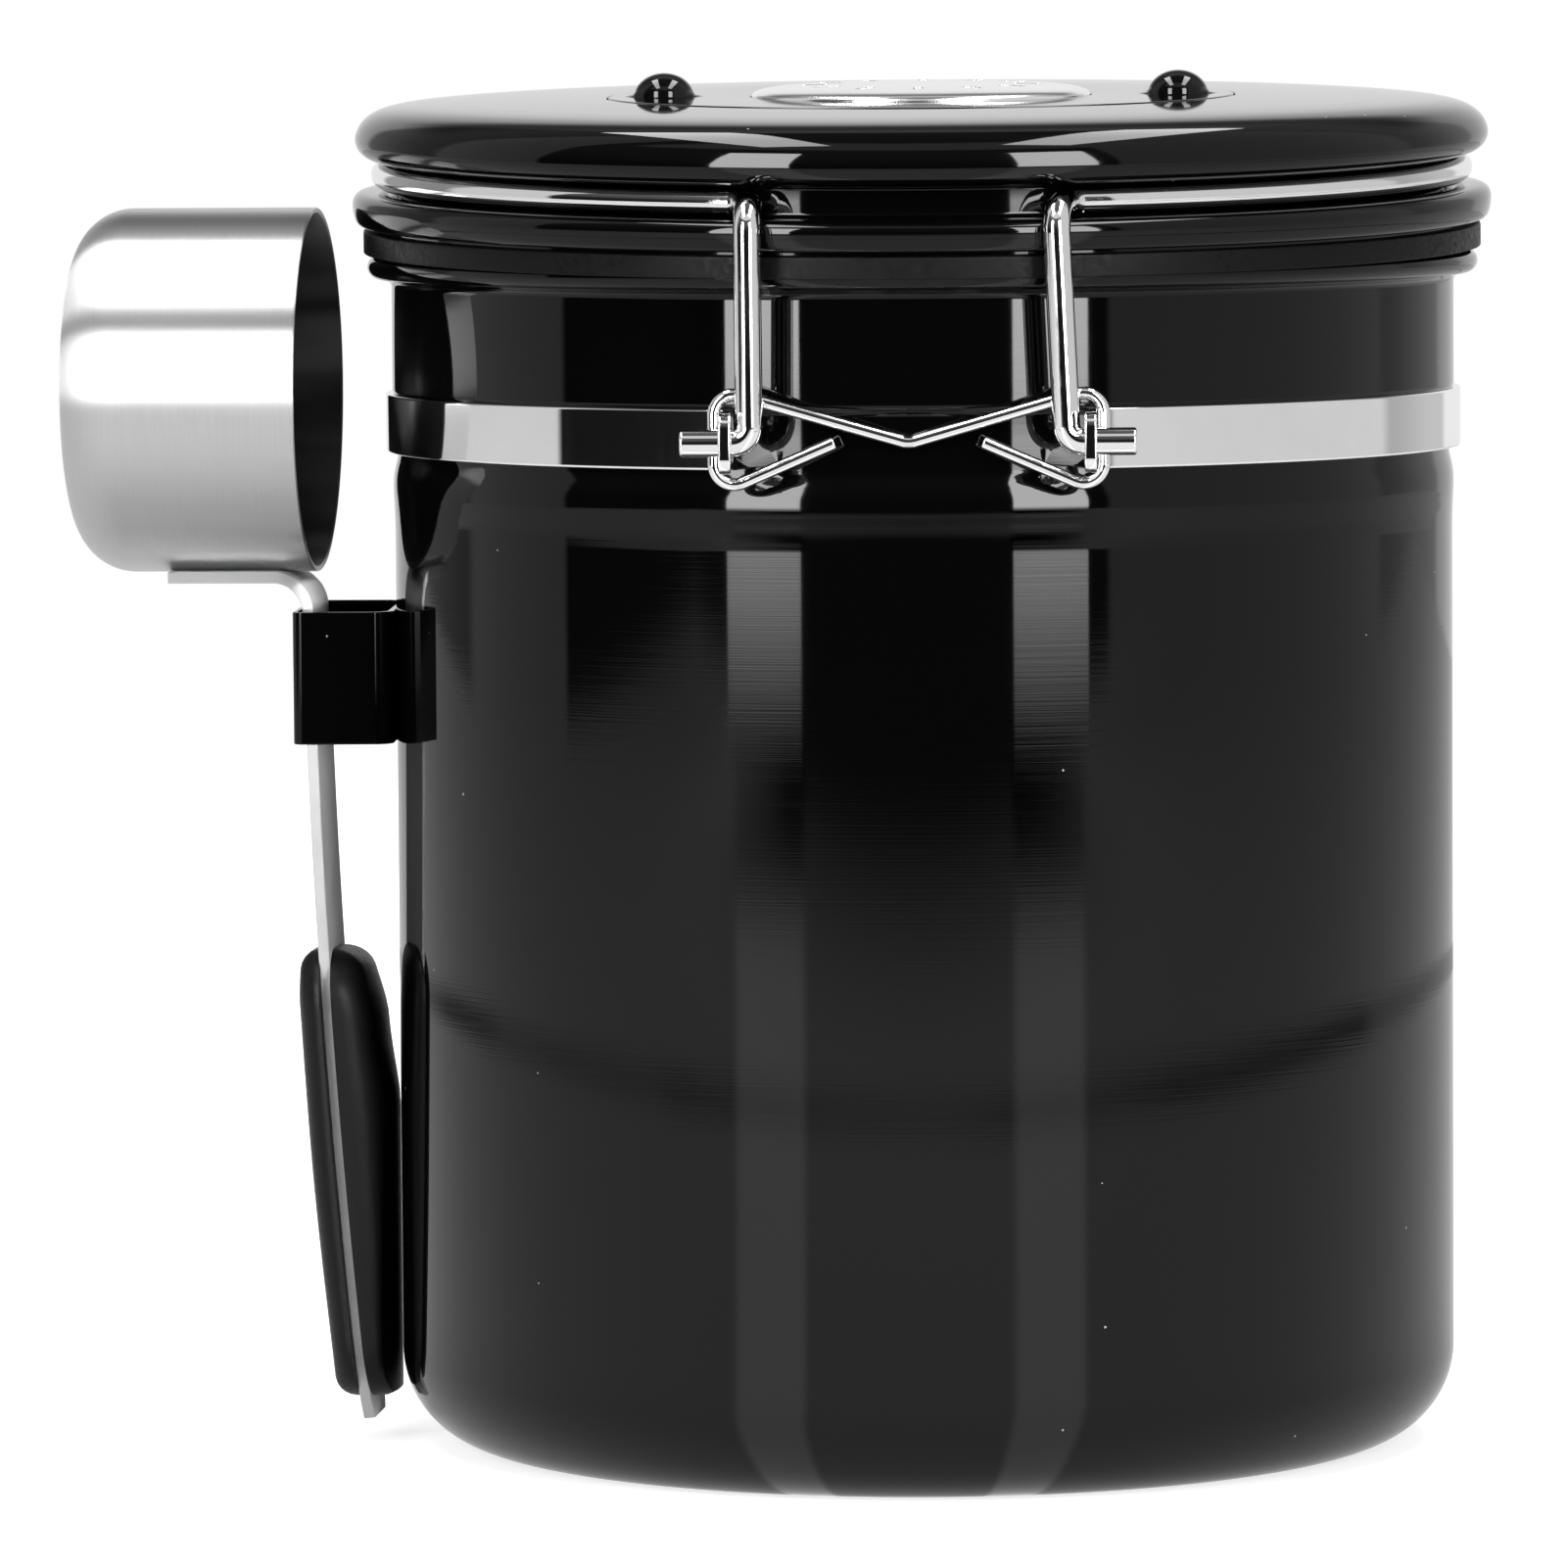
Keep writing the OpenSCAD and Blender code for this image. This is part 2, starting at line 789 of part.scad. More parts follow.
module vent_disc()
{
    edge_z = top_z - 0.6;
    crown = disc_rise;
    color([0.8, 0.8, 0.82])
        on_lid()
            difference() {
                rotate_extrude($fn = 180)
                    polygon([
                        [0, edge_z + crown + 0.35],
                        [disc_r - 4, edge_z + crown + 0.2],
                        [disc_r - 0.9, edge_z + crown - 0.3],
                        [disc_r - 0.2, edge_z + crown - 0.7],
                        [disc_r, edge_z + crown - 1],
                        [disc_r, edge_z],
                        [disc_r - disc_t, edge_z],
                        [disc_r - disc_t, edge_z + crown - 1.1],
                        [boss_r + disc_t + 0.4, edge_z + crown - disc_t],
                        [boss_r + disc_t, edge_z + crown - disc_t - 0.1],
                        [boss_r + disc_t, edge_z - 0.1],
                        [boss_r + seat_gap, edge_z - 0.1],
                        [boss_r + seat_gap, edge_z + crown + 0.2 - disc_t],
                        [0, edge_z + crown + 0.35 - disc_t],
                    ]);
                for (i = [0 : vent_count - 1])
                    rotate([0, 0, 360 * i / vent_count])
                        translate([vent_ring, 0, edge_z - over])
                            linear_extrude(crown + 3 * over)
                                rounded(vent_w, vent_len, vent_w / 2 - 0.01);
            }
}

module valve_body()
{
    low = plug_z - nut_h;
    color([0.2, 0.2, 0.21])
        on_lid()
            difference() {
                rotate_extrude($fn = 96)
                    polygon([
                        [0, seat_plate_z],
                        [bore_r, seat_plate_z],
                        [bore_r, low + tube_lip],
                        [tube_r - 0.3, low + tube_lip],
                        [tube_r, low + 2 * tube_lip],
                        [tube_r, recess_z + seat_gap],
                        [boss_r, recess_z + seat_gap],
                        [boss_r, recess_z + hub_t],
                        [bore_r, recess_z + hub_t],
                        [bore_r, seat_plate_z + seat_plate_t],
                        [0, seat_plate_z + seat_plate_t],
                    ]);
                for (i = [0 : gas_holes - 1])
                    rotate([0, 0, 360 * i / gas_holes])
                        translate([gas_ring, 0, seat_plate_z - over])
                            cylinder(r = gas_hole_r, h = seat_plate_t + 2 * over, $fn = 24);
                translate([0, 0, seat_plate_z - over])
                    cylinder(r = stem_r + stem_gap, h = seat_plate_t + 2 * over, $fn = 24);
            }
}

module valve_flap()
{
    top = seat_plate_z + seat_plate_t + seat_gap;
    color([0.75, 0.75, 0.72])
        on_lid()
            rotate_extrude($fn = 64)
                polygon([
                    [0, top + flap_t + 0.3],
                    [stem_r, top + flap_t + 0.3],
                    [flap_r, top + 0.35],
                    [flap_r, top],
                    [stem_r, top],
                    [stem_r, seat_plate_z - 0.8],
                    [stem_r + 0.7, seat_plate_z - 1.2],
                    [stem_r * 0.4, seat_plate_z - 3],
                    [0, seat_plate_z - 3],
                ]);
}

module valve_filter()
{
    low = plug_z - nut_h + tube_lip - filter_t - seat_gap;
    color([0.6, 0.6, 0.6])
        on_lid()
            translate([0, 0, low])
                cylinder(r = tube_r - 0.5, h = filter_t, $fn = 64);
}

module valve_nut()
{
    low = plug_z - nut_h - nut_floor;
    slot = [4.6, 2.4];
    slot_from = 3;
    color([0.1, 0.1, 0.11])
        on_lid()
            difference() {
                translate([0, 0, low])
                    cylinder(r = nut_r, h = plug_z - seat_gap - low, $fn = 96);
                translate([0, 0, low + grille_t])
                    cylinder(r = tube_r + thread_gap, h = nut_h + 2 * over, $fn = 96);
                for (i = [0 : grille_slots - 1])
                    rotate([0, 0, 360 * i / grille_slots])
                        translate([slot_from, -slot[1] / 2, low - over])
                            cube([slot[0], slot[1], grille_t + 2 * over]);
                for (i = [0 : nut_flutes - 1])
                    rotate([0, 0, 360 * i / nut_flutes])
                        translate([nut_r + 0.5, 0, low - over])
                            cylinder(r = 1, h = nut_h + 4 * over, $fn = 16);
            }
}

// The bowl lies on its side, with its mouth towards the can
module scoop_bowl()
{
    bottom = bowl_len + bowl_belly;
    round_z = bowl_len - bowl_corner;
    inside = bowl_corner - bowl_wall;
    color([0.75, 0.75, 0.76])
        on_scoop()
            translate([mouth_x, 0, bowl_z])
                rotate([0, -90, 0])
                    rotate_extrude($fn = 128)
                        polygon(concat(
                            [[bowl_r - bowl_wall, 0], [bowl_r, 0]],
                            arc(bowl_r - bowl_corner, round_z, bowl_corner, 0, 80, 8),
                            [[0, bottom], [0, bottom - bowl_wall]],
                            reversed(arc(bowl_r - bowl_corner, round_z, inside, 0, 80, 8))
                        ));
}

// Where the strip's middle is, at a height below its bend
function strip_x(z) =
    let (down = bend_z - z)
        bar_x + down * tan(lean_top) + strip_bow * pow(down / strip_len, 2);

module scoop_handle()
{
    half_t = strip_t / 2;
    mid_r = bend_r + half_t;
    bend_x = bar_x - mid_r;
    pieces = 12;
    color([0.72, 0.72, 0.73])
        on_scoop()
            difference() {
                rotate([90, 0, 0])
                    translate([0, 0, -strip_w / 2])
                        linear_extrude(strip_w)
                            polygon(concat(
                                [[bend_x - weld_len, bar_top], [bend_x, bar_top]],
                                arc(bend_x, bend_z, mid_r + half_t, bend_rise, 0, 8),
                                [for (i = [1 : pieces])
                                    let (z = along(bend_z, bar_end_z, i / pieces))
                                        [strip_x(z) + half_t, z]],
                                [for (i = [pieces : -1 : 1])
                                    let (z = along(bend_z, bar_end_z, i / pieces))
                                        [strip_x(z) - half_t, z]],
                                arc(bend_x, bend_z, mid_r - half_t, 0, bend_rise, 8),
                                [[bend_x - weld_len, bar_top - strip_t]]
                            ));
                translate([mouth_x + over, 0, bowl_z])
                    rotate([0, -90, 0])
                        cylinder(r = bowl_r + seat_gap / 2, h = bowl_len + 2 * over, $fn = 128);
                for (z = peg_z)
                    translate([strip_x(z) - 2 * strip_t, 0, z])
                        rotate([0, 90, 0])
                            cylinder(r = peg_r + peg_gap, h = 4 * strip_t, $fn = 32);
            }
}

// One scale of the grip: its side outline, rounded at the ends and crowned across.
// The crown's middle line goes through mid_x at half height and leans as given.
module grip_scale(outline, mid_x, lean, away)
{
    mid_z = (grip_low + grip_top) / 2;
    intersection() {
        rotate([90, 0, 0])
            translate([0, 0, -grip_w / 2])
                linear_extrude(grip_w)
                    polygon(outline);
        translate([bar_x, 0, mid_z])
            rotate([90, 0, 90])
                linear_extrude(2 * grip_w, center = true)
                    rounded(grip_w, grip_len, grip_corner);
        translate([mid_x - away * grip_crown, 0, mid_z])
            rotate([0, -lean, 0])
                cylinder(r = grip_crown, h = 2 * grip_len, center = true, $fn = 128);
    }
}

// Side outline of a scale that lies on the strip, from its face to its back
function scale_outline(face, thick, bulge, limit) =
    let (n = len(bulge) - 1)
        concat(
            [for (i = [0 : n])
                let (z = along(grip_top, grip_low, i / n))
                    [strip_x(z) + face, z]],
            [for (i = [n : -1 : 0])
                let (z = along(grip_top, grip_low, i / n))
                    [min(strip_x(z) + face + thick * bulge[i], limit), z]]
        );

module grip_outer()
{
    face = -(strip_t / 2 + seat_gap / 2);
    bulge = [0.5, 0.84, 0.97, 1, 1, 1, 1, 1, 1, 1.02, 0.96, 0.5];
    mid_x = strip_x((grip_low + grip_top) / 2) + face - outer_thick;
    color([0.08, 0.08, 0.085])
        on_scoop()
            grip_scale(scale_outline(face, -outer_thick, bulge, 0), mid_x, grip_lean, -1);
}

module grip_inner()
{
    face = strip_t / 2 + seat_gap / 2;
    limit = -(body_r + grip_clear);
    bulge = [0.45, 0.72, 0.86, 0.95, 1, 1, 1, 1, 1, 0.97, 0.85, 0.5];
    color([0.08, 0.08, 0.085])
        on_scoop()
            union() {
                grip_scale(scale_outline(face, inner_thick, bulge, limit), limit, 0, 1);
                for (z = peg_z)
                    translate([strip_x(z) - strip_t / 2, 0, z])
                        rotate([0, 90, 0])
                            cylinder(r = peg_r, h = 2 * strip_t, $fn = 32);
            }
}

can_body();
clamp_band();
tension_clip();
scoop_bracket();
latch_bracket();
latch_lever();
latch_link();
lid_cover();
lid_liner();
lid_gasket();
lid_wire();
date_dial();
vent_disc();
valve_body();
valve_flap();
valve_filter();
valve_nut();
scoop_bowl();
scoop_handle();
grip_outer();
grip_inner();
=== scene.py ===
import itertools
import math

import bmesh
import bpy
from mathutils import Matrix, Vector


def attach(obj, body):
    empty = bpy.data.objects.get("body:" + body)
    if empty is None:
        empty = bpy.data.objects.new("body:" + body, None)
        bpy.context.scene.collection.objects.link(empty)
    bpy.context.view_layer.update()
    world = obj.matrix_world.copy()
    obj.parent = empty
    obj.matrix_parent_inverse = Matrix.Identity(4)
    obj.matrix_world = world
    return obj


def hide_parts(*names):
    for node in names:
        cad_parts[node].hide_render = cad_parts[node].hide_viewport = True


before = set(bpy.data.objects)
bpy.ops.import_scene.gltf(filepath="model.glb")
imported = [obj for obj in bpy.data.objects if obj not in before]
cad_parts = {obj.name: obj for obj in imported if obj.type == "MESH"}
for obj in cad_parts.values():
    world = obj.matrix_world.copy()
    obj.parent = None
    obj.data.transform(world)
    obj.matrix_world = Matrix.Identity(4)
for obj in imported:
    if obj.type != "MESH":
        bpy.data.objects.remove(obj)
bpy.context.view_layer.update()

MM = 0.001
TAU = 2 * math.pi
UV_PER_MM = 0.01

# ---------------------------------------------------------------- sizes, mm
BODY_R = 60.0
BAND_Z = 116.5
HINGE_Y, LEVER_Y = -64.6, 66.0
HINGE = Vector((0, HINGE_Y, BAND_Z))
AJAR = math.radians(1.65)
EAR_X, EAR_REACH, EAR_H, EAR_T = 19.66, 3.2, 6.5, 1.3
WIRE_R, CLIP_R, LINK_R = 1.5, 0.7, 1.1
RING_R = 60.8
WIRE_Z = 142.6
LID_TOP = 151.1
LATCH_PIN = Vector((0, 64.9, 109.5))
BAR_X = -69.4
BEND_Z = 94.95
STRIP_T = 1.3
SCOOP_TURN = math.radians(-3.3)


def between(value, table):
    """A value read off a list of (at, value), straight between its entries."""
    for (a, va), (b, vb) in zip(table, table[1:]):
        if value <= b:
            return va + (vb - va) * max(0.0, (value - a) / (b - a))
    return table[-1][1]


def on_lid(p):
    """Turns a point of the level lid to where the lid rests; lip and groove sag at the hinge."""
    sag = between(p[2], [(130, 0), (135, 0.1), (138, 0.5), (141, 0.85), (143, 1), (146.5, 1),
                         (149.6, 0)])
    sag *= between(p[1], [(-64, -0.65), (0, 0.25), (20, 0.2), (64, 0.0)])
    y, z = p[1] - HINGE.y, p[2] + sag - HINGE.z
    c, s = math.cos(AJAR), math.sin(AJAR)
    return Vector((p[0], HINGE.y + y * c - z * s, HINGE.z + y * s + z * c))


def on_scoop(p):
    """Turns a point of the square scoop about its handle."""
    c, s = math.cos(SCOOP_TURN), math.sin(SCOOP_TURN)
    x = p[0] - BAR_X
    return Vector((BAR_X + x * c - p[1] * s, x * s + p[1] * c, p[2]))


def as_is(p):
    """Leaves a point of the can where it is."""
    return Vector(p)


# ---------------------------------------------------------------- mesh making
def make(name, part, material, body, solid, place=as_is, sharp=32):
    """One mesh piece from points in mm, set on its body in the place of its solid."""
    verts, faces, uvs = part
    mesh = bpy.data.meshes.new(name)
    mesh.from_pydata([place(v) * MM for v in verts], [], faces)
    if uvs:
        layer = mesh.uv_layers.new(name="along")
        for poly in mesh.polygons:
            for i, loop in zip(range(poly.loop_total), poly.loop_indices):
                layer.data[loop].uv = uvs[poly.index][i]
    finish_mesh(mesh, sharp)
    obj = bpy.data.objects.new(name, mesh)
    bpy.context.scene.collection.objects.link(obj)
    mesh.materials.append(material)
    even = obj.modifiers.new("even_shading", "WEIGHTED_NORMAL")
    even.keep_sharp = True
    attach(obj, body)
    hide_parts(solid)
    return obj


def finish_mesh(mesh, sharp):
    """Smooth faces with sharp edges where they meet at more than an angle."""
    bm = bmesh.new()
    bm.from_mesh(mesh)
    bmesh.ops.recalc_face_normals(bm, faces=bm.faces)
    limit = math.radians(sharp)
    for f in bm.faces:
        f.smooth = True
    for e in bm.edges:
        e.smooth = len(e.link_faces) != 2 or e.calc_face_angle(0) < limit
    bm.to_mesh(mesh)
    bm.free()
    mesh.update()


def arc(cx, cz, r, a, b, n=8):
    """Points on an arc in a profile, angles in degrees."""
    return [
        (cx + r * math.cos(math.radians(a + (b - a) * i / n)),
         cz + r * math.sin(math.radians(a + (b - a) * i / n)))
        for i in range(n + 1)
    ]


def flow(points, per=6):
    """A smooth curve through 2D points (centripetal Catmull-Rom)."""
    pts = [Vector((p[0], p[1], 0)) for p in points]
    pts = [pts[0] * 2 - pts[1]] + pts + [pts[-1] * 2 - pts[-2]]
    out = []
    for i in range(1, len(pts) - 2):
        p0, p1, p2, p3 = pts[i - 1:i + 3]
        t0 = 0.0
        t1, t2, t3 = itertools.accumulate(
            max((b - a).length, 1e-9) ** 0.5 for a, b in ((p0, p1), (p1, p2), (p2, p3)))
        for k in range(per):
            t = t1 + (t2 - t1) * k / per
            a1 = p0 * ((t1 - t) / (t1 - t0)) + p1 * ((t - t0) / (t1 - t0))
            a2 = p1 * ((t2 - t) / (t2 - t1)) + p2 * ((t - t1) / (t2 - t1))
            a3 = p2 * ((t3 - t) / (t3 - t2)) + p3 * ((t - t2) / (t3 - t2))
            b1 = a1 * ((t2 - t) / (t2 - t0)) + a2 * ((t - t0) / (t2 - t0))
            b2 = a2 * ((t3 - t) / (t3 - t1)) + a3 * ((t - t1) / (t3 - t1))
            c = b1 * ((t2 - t) / (t2 - t1)) + b2 * ((t - t1) / (t2 - t1))
            out.append((c.x, c.y))
    out.append((points[-1][0], points[-1][1]))
    return out


def rounded_corners(points, radii, n=4):
    """A polygon with its corners rounded by one radius or a list of them."""
    out, m = [], len(points)
    for i, p in enumerate(points):
        r = radii[i] if isinstance(radii, list) else radii
        if r <= 0:
            out.append(tuple(p))
            continue
        here = Vector((p[0], p[1]))
        back = Vector(points[i - 1]) - here
        ahead = Vector(points[(i + 1) % m]) - here
        back.normalize()
        ahead.normalize()
        half = math.acos(max(-1, min(1, back.dot(ahead)))) / 2
        if half > math.radians(89.5):
            out.append(tuple(p))
            continue
        cut = r / math.tan(half)
        centre = here + (back + ahead).normalized() * (r / math.sin(half))
        start = here + back * cut - centre
        end = here + ahead * cut - centre
        turn = math.atan2(start.x * end.y - start.y * end.x, start.dot(end))
        for k in range(n + 1):
            t = turn * k / n
            c, s = math.cos(t), math.sin(t)
            out.append((centre.x + start.x * c - start.y * s,
                        centre.y + start.x * s + start.y * c))
    return out


def lathe(profile, segments=256):
    """Vertices, faces and UVs of a closed profile (r, z) turned about Z."""
    on_axis = [r < 1e-6 for r, _ in profile]
    verts, index = [], []
    length = [0.0]
    for a, b in zip(profile, profile[1:] + profile[:1]):
        length.append(length[-1] + math.hypot(b[0] - a[0], b[1] - a[1]))
    for (r, z), single in zip(profile, on_axis):
        if single:
            index.append([len(verts)] * segments)
            verts.append((0, 0, z))
        else:
            index.append(list(range(len(verts), len(verts) + segments)))
            for i in range(segments):
                t = TAU * i / segments
                verts.append((r * math.cos(t), r * math.sin(t), z))
    faces, uvs = [], []
    for j in range(len(profile)):
        k = (j + 1) % len(profile)
        if on_axis[j] and on_axis[k]:
            continue
        for i in range(segments):
            i2 = (i + 1) % segments
            quad = [index[j][i], index[j][i2], index[k][i2], index[k][i]]
            u0, u1 = i / segments, (i + 1) / segments
            uv = [(u0, length[j]), (u1, length[j]), (u1, length[j + 1]), (u0, length[j + 1])]
            face, face_uv = [], []
            for v, t in zip(quad, uv):
                if v not in face:
                    face.append(v)
                    face_uv.append((t[0], t[1] * UV_PER_MM))
            if len(face) > 2:
                faces.append(face)
                uvs.append(face_uv)
    return verts, faces, uvs


def bent(path, bends, per=10):
    """Points of a path whose inner corners are rounded in 3D."""
    pts = [Vector(p) for p in path]
    out = [pts[0]]
    for i in range(1, len(pts) - 1):
        d = (pts[i] - pts[i - 1]).normalized()
        e = (pts[i + 1] - pts[i]).normalized()
        turn = d.angle(e)
        if turn < 1e-4:
            continue
        r = bends[i - 1]
        cut = r * math.tan(turn / 2)
        side = (e - d * d.dot(e)).normalized()
        start = pts[i] - d * cut
        n = max(3, int(per * turn / (math.pi / 2)) + 1)
        for k in range(n + 1):
            t = turn * k / n
            out.append(start + side * (r - r * math.cos(t)) + d * (r * math.sin(t)))
    out.append(pts[-1])
    return out


def stitched(rings, sides):
    """The side faces and two end faces of a stack of rings of points."""
    faces = []
    for j in range(rings - 1):
        for i in range(sides):
            i2 = (i + 1) % sides
            faces.append([j * sides + i, j * sides + i2, (j + 1) * sides + i2,
                          (j + 1) * sides + i])
    faces += [list(range(sides))[::-1], [(rings - 1) * sides + i for i in range(sides)]]
    return faces


def tube(points, radius, sides=28, ends=0.35):
    """Round wire along points, with softly broken ends."""
    pts = [Vector(p) for p in points]
    n = len(pts)
    tangents = [(pts[min(i + 1, n - 1)] - pts[max(i - 1, 0)]).normalized() for i in range(n)]
    side = tangents[0].orthogonal().normalized()
    frames = []
    for tangent in tangents:
        side = (side - tangent * side.dot(tangent)).normalized()
        frames.append((side.copy(), tangent.cross(side)))

    def cap(p, outward, basis):
        steps = []
        for k in range(5):
            t = math.pi / 2 * k / 4
            steps.append((p + outward * (ends * (math.sin(t) - 1)),
                          1 - ends / radius * (1 - math.cos(t)), basis))
        return steps

    head = cap(pts[0], -tangents[0], frames[0])
    tail = cap(pts[-1], tangents[-1], frames[-1])
    rings = head[::-1] + [(pts[i], 1.0, frames[i]) for i in range(1, n - 1)] + tail
    verts, uvs, run = [], [], 0.0
    for p, k, (right, up) in rings:
        for i in range(sides):
            t = TAU * i / sides
            verts.append(p + (right * math.cos(t) + up * math.sin(t)) * radius * k)
    for (p, *_), (q, *_) in zip(rings, rings[1:]):
        v0, v1 = run * UV_PER_MM, (run + (q - p).length) * UV_PER_MM
        run += (q - p).length
        for i in range(sides):
            uvs.append([(i / sides, v0), ((i + 1) / sides, v0),
                        ((i + 1) / sides, v1), (i / sides, v1)])
    uvs += [[(0, 0)] * sides, [(0, 0)] * sides]
    return verts, stitched(len(rings), sides), uvs


def merge(*parts):
    """Several (verts, faces, uvs) as one."""
    verts, faces, uvs = [], [], []
    for v, f, u in parts:
        base = len(verts)
        verts += list(v)
        faces += [[i + base for i in face] for face in f]
        uvs += u if u is not None else [[(0, 0)] * len(face) for face in f]
    return verts, faces, uvs


def flipped(part):
    """The same plain piece on the other side of the middle."""
    return [(-p[0], p[1], p[2]) for p in part[0]], [face[::-1] for face in part[1]], None


def other_half(points):
    """The rest of a path that is alike on both sides of the middle."""
    return [(-x, y, z) for x, y, z in points[::-1]]


def hoop(radius, t, edge, start, sweep, steps):
    """A flat strap, softened at its edges, that runs round the can at the band's height."""
    h = 6.6
    section = rounded_corners([(0, -h / 2), (t, -h / 2), (t, h / 2), (0, h / 2)], edge, 4)
    verts, uvs = [], []
    for i in range(steps + 1):
        a = start + sweep * i / steps
        out = Vector((math.cos(a), math.sin(a), 0))
        for deep, up in section:
            verts.append(out * radius + Vector((0, 0, BAND_Z)) + out * deep + Vector((0, 0, up)))
    n, m = len(section), steps + 1
    for j in range(steps):
        uvs += [[(0, j / m), (0, j / m), (0, (j + 1) / m), (0, (j + 1) / m)]] * n
    uvs += [[(0, 0)] * n, [(0, 0)] * n]
    return verts, stitched(m, n), uvs


def plate(outline, thickness, edge=0.2, holes=(), steps=3):
    """A flat plate (x, y outline, z thickness) with softened edges and round holes."""
    bm = bmesh.new()

    def loop(points, z):
        return [bm.verts.new((p[0], p[1], z)) for p in points]

    def inset(points, d, hole=False):
        m = len(points)
        out = []
        area = sum(points[i][0] * points[(i + 1) % m][1]
                   - points[(i + 1) % m][0] * points[i][1] for i in range(m))
        sign = 1 if area > 0 else -1
        if hole:
            sign = -sign
        for i in range(m):
            a, b, c = Vector(points[i - 1]), Vector(points[i]), Vector(points[(i + 1) % m])
            d1, d2 = (b - a).normalized(), (c - b).normalized()
            n1, n2 = Vector((-d1.y, d1.x)), Vector((-d2.y, d2.x))
            inward = n1 + n2
            if inward.length < 1e-6:
                inward = n1
            inward.normalize()
            out.append(tuple(b + inward * (sign * d / max(0.4, inward.dot(n1)))))
        return out

    def wall(points, hole=False):
        rings = []
        for end in (-1, 1):
            for k in range(steps + 1):
                t = math.pi / 2 * (k / steps if end < 0 else 1 - k / steps)
                rings.append(loop(inset(points, edge * (1 - math.sin(t)), hole),
                                  end * (thickness / 2 - edge * (1 - math.cos(t)))))
        m = len(points)
        for a, b in zip(rings, rings[1:]):
            for i in range(m):
                i2 = (i + 1) % m
                bm.faces.new((a[i], a[i2], b[i2], b[i]))
        return rings[0], rings[-1]

    walls = [wall(outline)] + [wall(h, True) for h in holes]
    for rings in zip(*walls):
        edges = [bm.edges.get((r[i], r[(i + 1) % len(r)])) for r in rings for i in range(len(r))]
        if len(rings) == 1:
            bm.faces.new(rings[0])
        else:
            bmesh.ops.triangle_fill(bm, use_beauty=True, use_dissolve=False, edges=edges)
    bm.verts.index_update()
    verts = [v.co.copy() for v in bm.verts]
    faces = [[v.index for v in f.verts] for f in bm.faces]
    bm.free()
    return verts, faces, None


def circle(cx, cy, r, n=48):
    """A round outline."""
    return [(cx + r * math.cos(TAU * i / n), cy + r * math.sin(TAU * i / n)) for i in range(n)]


def moved(part, matrix):
    """A piece with its points turned and shifted by a matrix."""
    return [matrix @ Vector(p) for p in part[0]], *part[1:]


# ---------------------------------------------------------------- shader parts
def group(name, inputs, outputs):
    """A new node group with number inputs and outputs, and its two end nodes."""
    tree = bpy.data.node_groups.new(name, "ShaderNodeTree")
    for label, value in inputs:
        socket = tree.interface.new_socket(label, in_out="INPUT", socket_type="NodeSocketFloat")
        socket.default_value = value
    for label in outputs:
        tree.interface.new_socket(label, in_out="OUTPUT", socket_type="NodeSocketFloat")
    return tree, tree.nodes.new("NodeGroupInput"), tree.nodes.new("NodeGroupOutput")


def node(tree, kind, **values):
    """A node with its settings, and its sockets' values under inputs."""
    n = tree.nodes.new(kind)
    for key, value in values.items():
        if key == "inputs":
            for k, v in value.items():
                n.inputs[k].default_value = v
        else:
            setattr(n, key, value)
    return n


def ramp(tree, stops):
    """A grey ramp from a list of (at, value)."""
    n = tree.nodes.new("ShaderNodeValToRGB")
    steps = n.color_ramp.elements
    while len(steps) > 1:
        steps.remove(steps[-1])
    steps[0].position = stops[0][0]
    for at, _ in stops[1:]:
        steps.new(at)
    for step, (_, value) in zip(steps, stops):
        step.color = (value, value, value, 1)
    return n


class Maths:
    """Short names for the maths nodes of one tree."""

    def __init__(self, tree):
        self.t = tree

    def do(self, kind, a, b=None):
        n = node(self.t, "ShaderNodeMath", operation=kind)
        for socket, value in zip(n.inputs, (a, b)):
            if isinstance(value, (int, float)):
                socket.default_value = value
            elif value is not None:
                self.t.links.new(value, socket)
        return n.outputs[0]

    def times(self, a, *others):
        for b in others:
            a = self.do("MULTIPLY", a, b)
        return a

    def less(self, a, share=1.0):
        """What is left of one after a share of a mask."""
        return self.do("SUBTRACT", 1.0, self.times(a, share))

    def most(self, a, *others):
        for b in others:
            a = self.do("MAXIMUM", a, b)
        return a

    def distance(self, x, y):
        return self.do("SQRT", self.do("ADD", self.times(x, x), self.times(y, y)))

    def step(self, value, low, high, to_low=0.0, to_high=1.0):
        """A smooth step between two values of another."""
        n = node(self.t, "ShaderNodeMapRange", interpolation_type="SMOOTHSTEP",
                 inputs={"From Min": low, "From Max": high, "To Min": to_low, "To Max": to_high})
        self.t.links.new(value, n.inputs["Value"])
        return n.outputs[0]

    def bump_between(self, value, low, high, soft):
        """One between two values, zero outside, with soft ends."""
        return self.times(self.step(value, low - soft, low + soft),
                          self.step(value, high - soft, high + soft, 1.0, 0.0))

    def azimuth(self, x, y):
        """Degrees to the right of the camera's side."""
        return self.times(self.do("ARCTAN2", x, self.times(y, -1.0)), 180 / math.pi)

    def coordinates(self, kind):
        """X, Y and Z of a kind of texture coordinate."""
        split = node(self.t, "ShaderNodeSeparateXYZ")
        self.t.links.new(node(self.t, "ShaderNodeTexCoord").outputs[kind], split.inputs[0])
        return split.outputs


